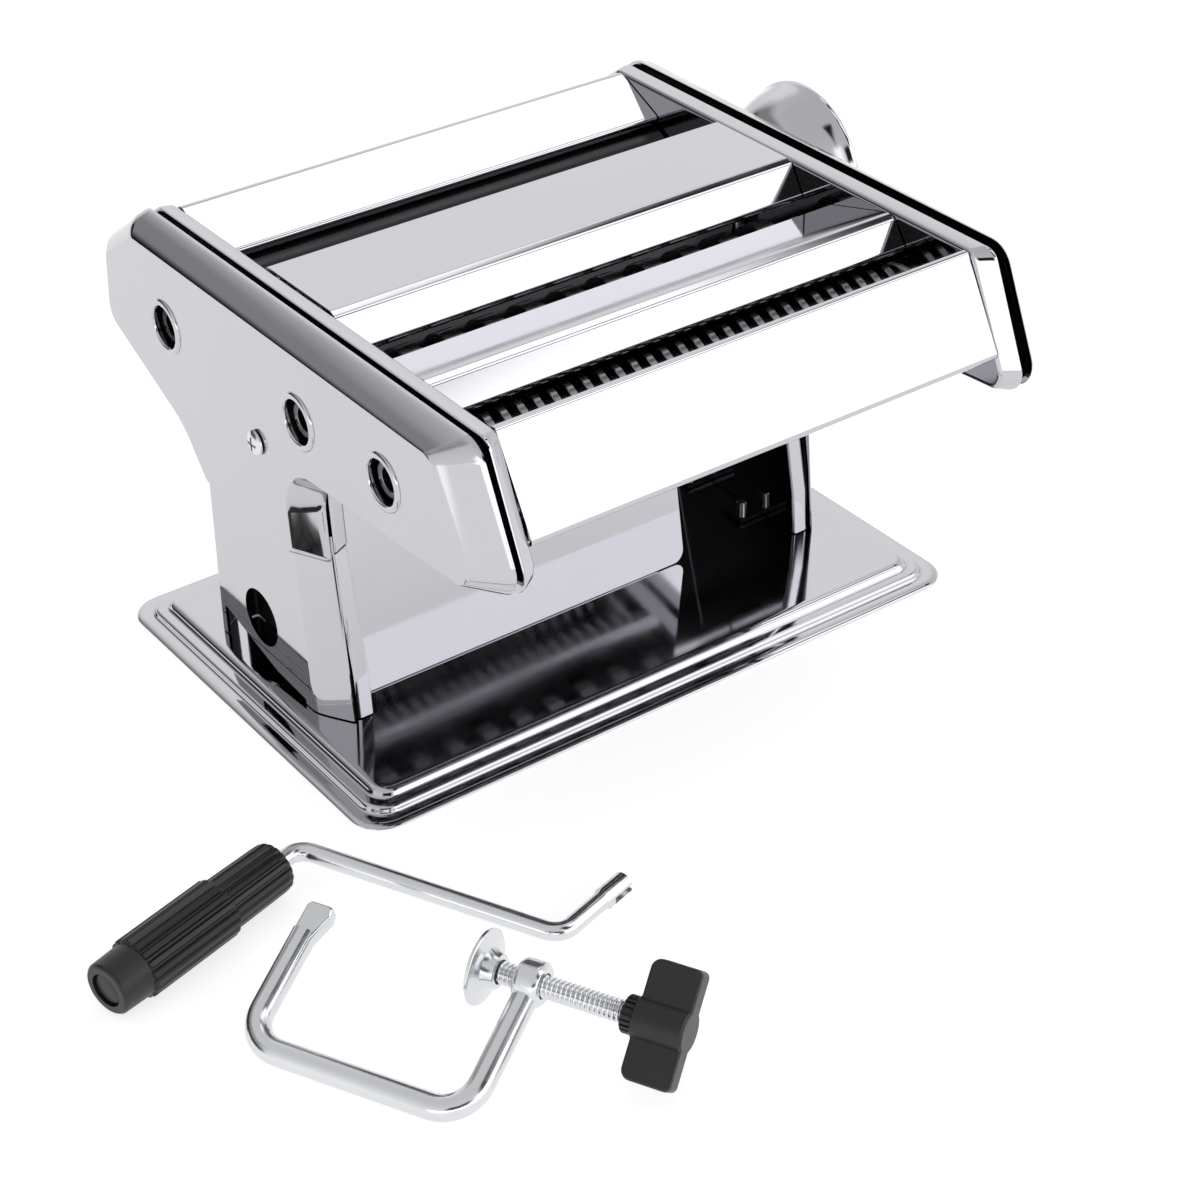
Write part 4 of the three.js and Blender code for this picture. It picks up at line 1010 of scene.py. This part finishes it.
# A panel of light is (bearing, half width, lowest, highest, brightness, feather), with angles in degrees.
# Bearings run from the back (+y) towards the dial side (+x). A later panel lies over the ones before it.
PANELS_OF_LIGHT = [
    (30, 22, 14, 42, 1.12, 8),
    (-38, 32, 12, 42, 0.35, 9),
    (-45, 32, 1, 20, 0.02, 4),
    (80, 14, 46, 72, 0.02, 3),
    (108, 14, 44, 72, 1.5, 4),
    (65, 10, 52, 65, 2.0, 2.5),
    (145, 32, 5, 40, 2.0, 5),
    (150, 22, 34, 70, 0.02, 3),
    (127, 12, 42, 58, 2.2, 4),
    (-150, 50, 5, 16, 2.0, 3),
    (-149, 22, 18, 36, 0.02, 3),
    (-118, 14, -3, 12, 2.0, 4),
]


def studio():
    """A soft surround: a pale sky with broad feathered panels, bright and dark."""
    world = bpy.data.worlds.new("studio")
    world.use_nodes = True
    tree = world.node_tree
    node = tree.nodes.new
    link = tree.links.new

    def maths(operation, first, second):
        made = node("ShaderNodeMath")
        made.operation = operation
        for socket, value in zip(made.inputs, (first, second)):
            if isinstance(value, (int, float)):
                socket.default_value = value
            else:
                link(value, socket)
        return made.outputs[0]

    def ramp(value, low, high, start=0.0, end=1.0):
        made = node("ShaderNodeMapRange")
        made.interpolation_type = "SMOOTHSTEP"
        link(value, made.inputs["Value"])
        for socket, number in zip(("From Min", "From Max", "To Min", "To Max"), (low, high, start, end)):
            made.inputs[socket].default_value = number
        return made.outputs["Result"]

    direction = node("ShaderNodeTexCoord").outputs["Generated"]
    split = node("ShaderNodeSeparateXYZ")
    link(direction, split.inputs[0])
    x, y, z = split.outputs
    height = maths("MULTIPLY", maths("ARCSINE", z, 0), 180 / math.pi)

    def panel(light, bearing, half_width, low, high, level, feather):
        """Lays a panel over the light so far."""
        a = math.radians(bearing)
        flat = maths("SQRT", maths("MAXIMUM", maths("SUBTRACT", 1.0, maths("MULTIPLY", z, z)), 1e-6), 0)
        along = maths("ADD", maths("MULTIPLY", x, math.sin(a)), maths("MULTIPLY", y, math.cos(a)))
        outer = math.cos(math.radians(half_width + feather))
        inner = math.cos(math.radians(max(0, half_width - feather)))
        wide = ramp(maths("DIVIDE", along, flat), outer, inner)
        above = ramp(height, low - feather, low + feather)
        below = ramp(height, high - feather, high + feather, 1.0, 0.0)
        mask = maths("MULTIPLY", wide, maths("MULTIPLY", above, below))
        change = maths("MULTIPLY", mask, maths("SUBTRACT", level, light))
        return maths("ADD", light, change)

    light = ramp(height, -5, 70, 1.0, 0.72)
    for settings in PANELS_OF_LIGHT:
        light = panel(light, *settings)
    background = tree.nodes["Background"]
    background.inputs["Color"].default_value = (1, 1, 1, 1)
    link(light, background.inputs["Strength"])
    bpy.context.scene.world = world


studio()

# The camera stands in front and to the left, above the machine.
CAMERA_AT = Vector((-369.25, -550.94, 437.92))
AZIMUTH, ELEVATION, ROLL = math.radians(-35.37), math.radians(33.71), math.radians(-1.34)
FOCAL_SHARE = 2.2194
right = Vector((math.cos(AZIMUTH), math.sin(AZIMUTH), 0))
away = Vector((math.sin(AZIMUTH), -math.cos(AZIMUTH), 0))
back = away * math.cos(ELEVATION) + Vector((0, 0, math.sin(ELEVATION)))
up = back.cross(right)
level = Matrix((right, up, back)).transposed()
camera_data = bpy.data.cameras.new("camera")
camera_data.sensor_width = 36
camera_data.lens = 36 * FOCAL_SHARE
camera_data.clip_end = 20
camera = bpy.data.objects.new("camera", camera_data)
bpy.context.scene.collection.objects.link(camera)
rolled = level @ Matrix.Rotation(ROLL, 3, "Z")
camera.matrix_world = Matrix.Translation(MACHINE @ CAMERA_AT) @ rolled.to_4x4()
bpy.context.scene.camera = camera
bpy.context.scene.view_settings.view_transform = "Standard"
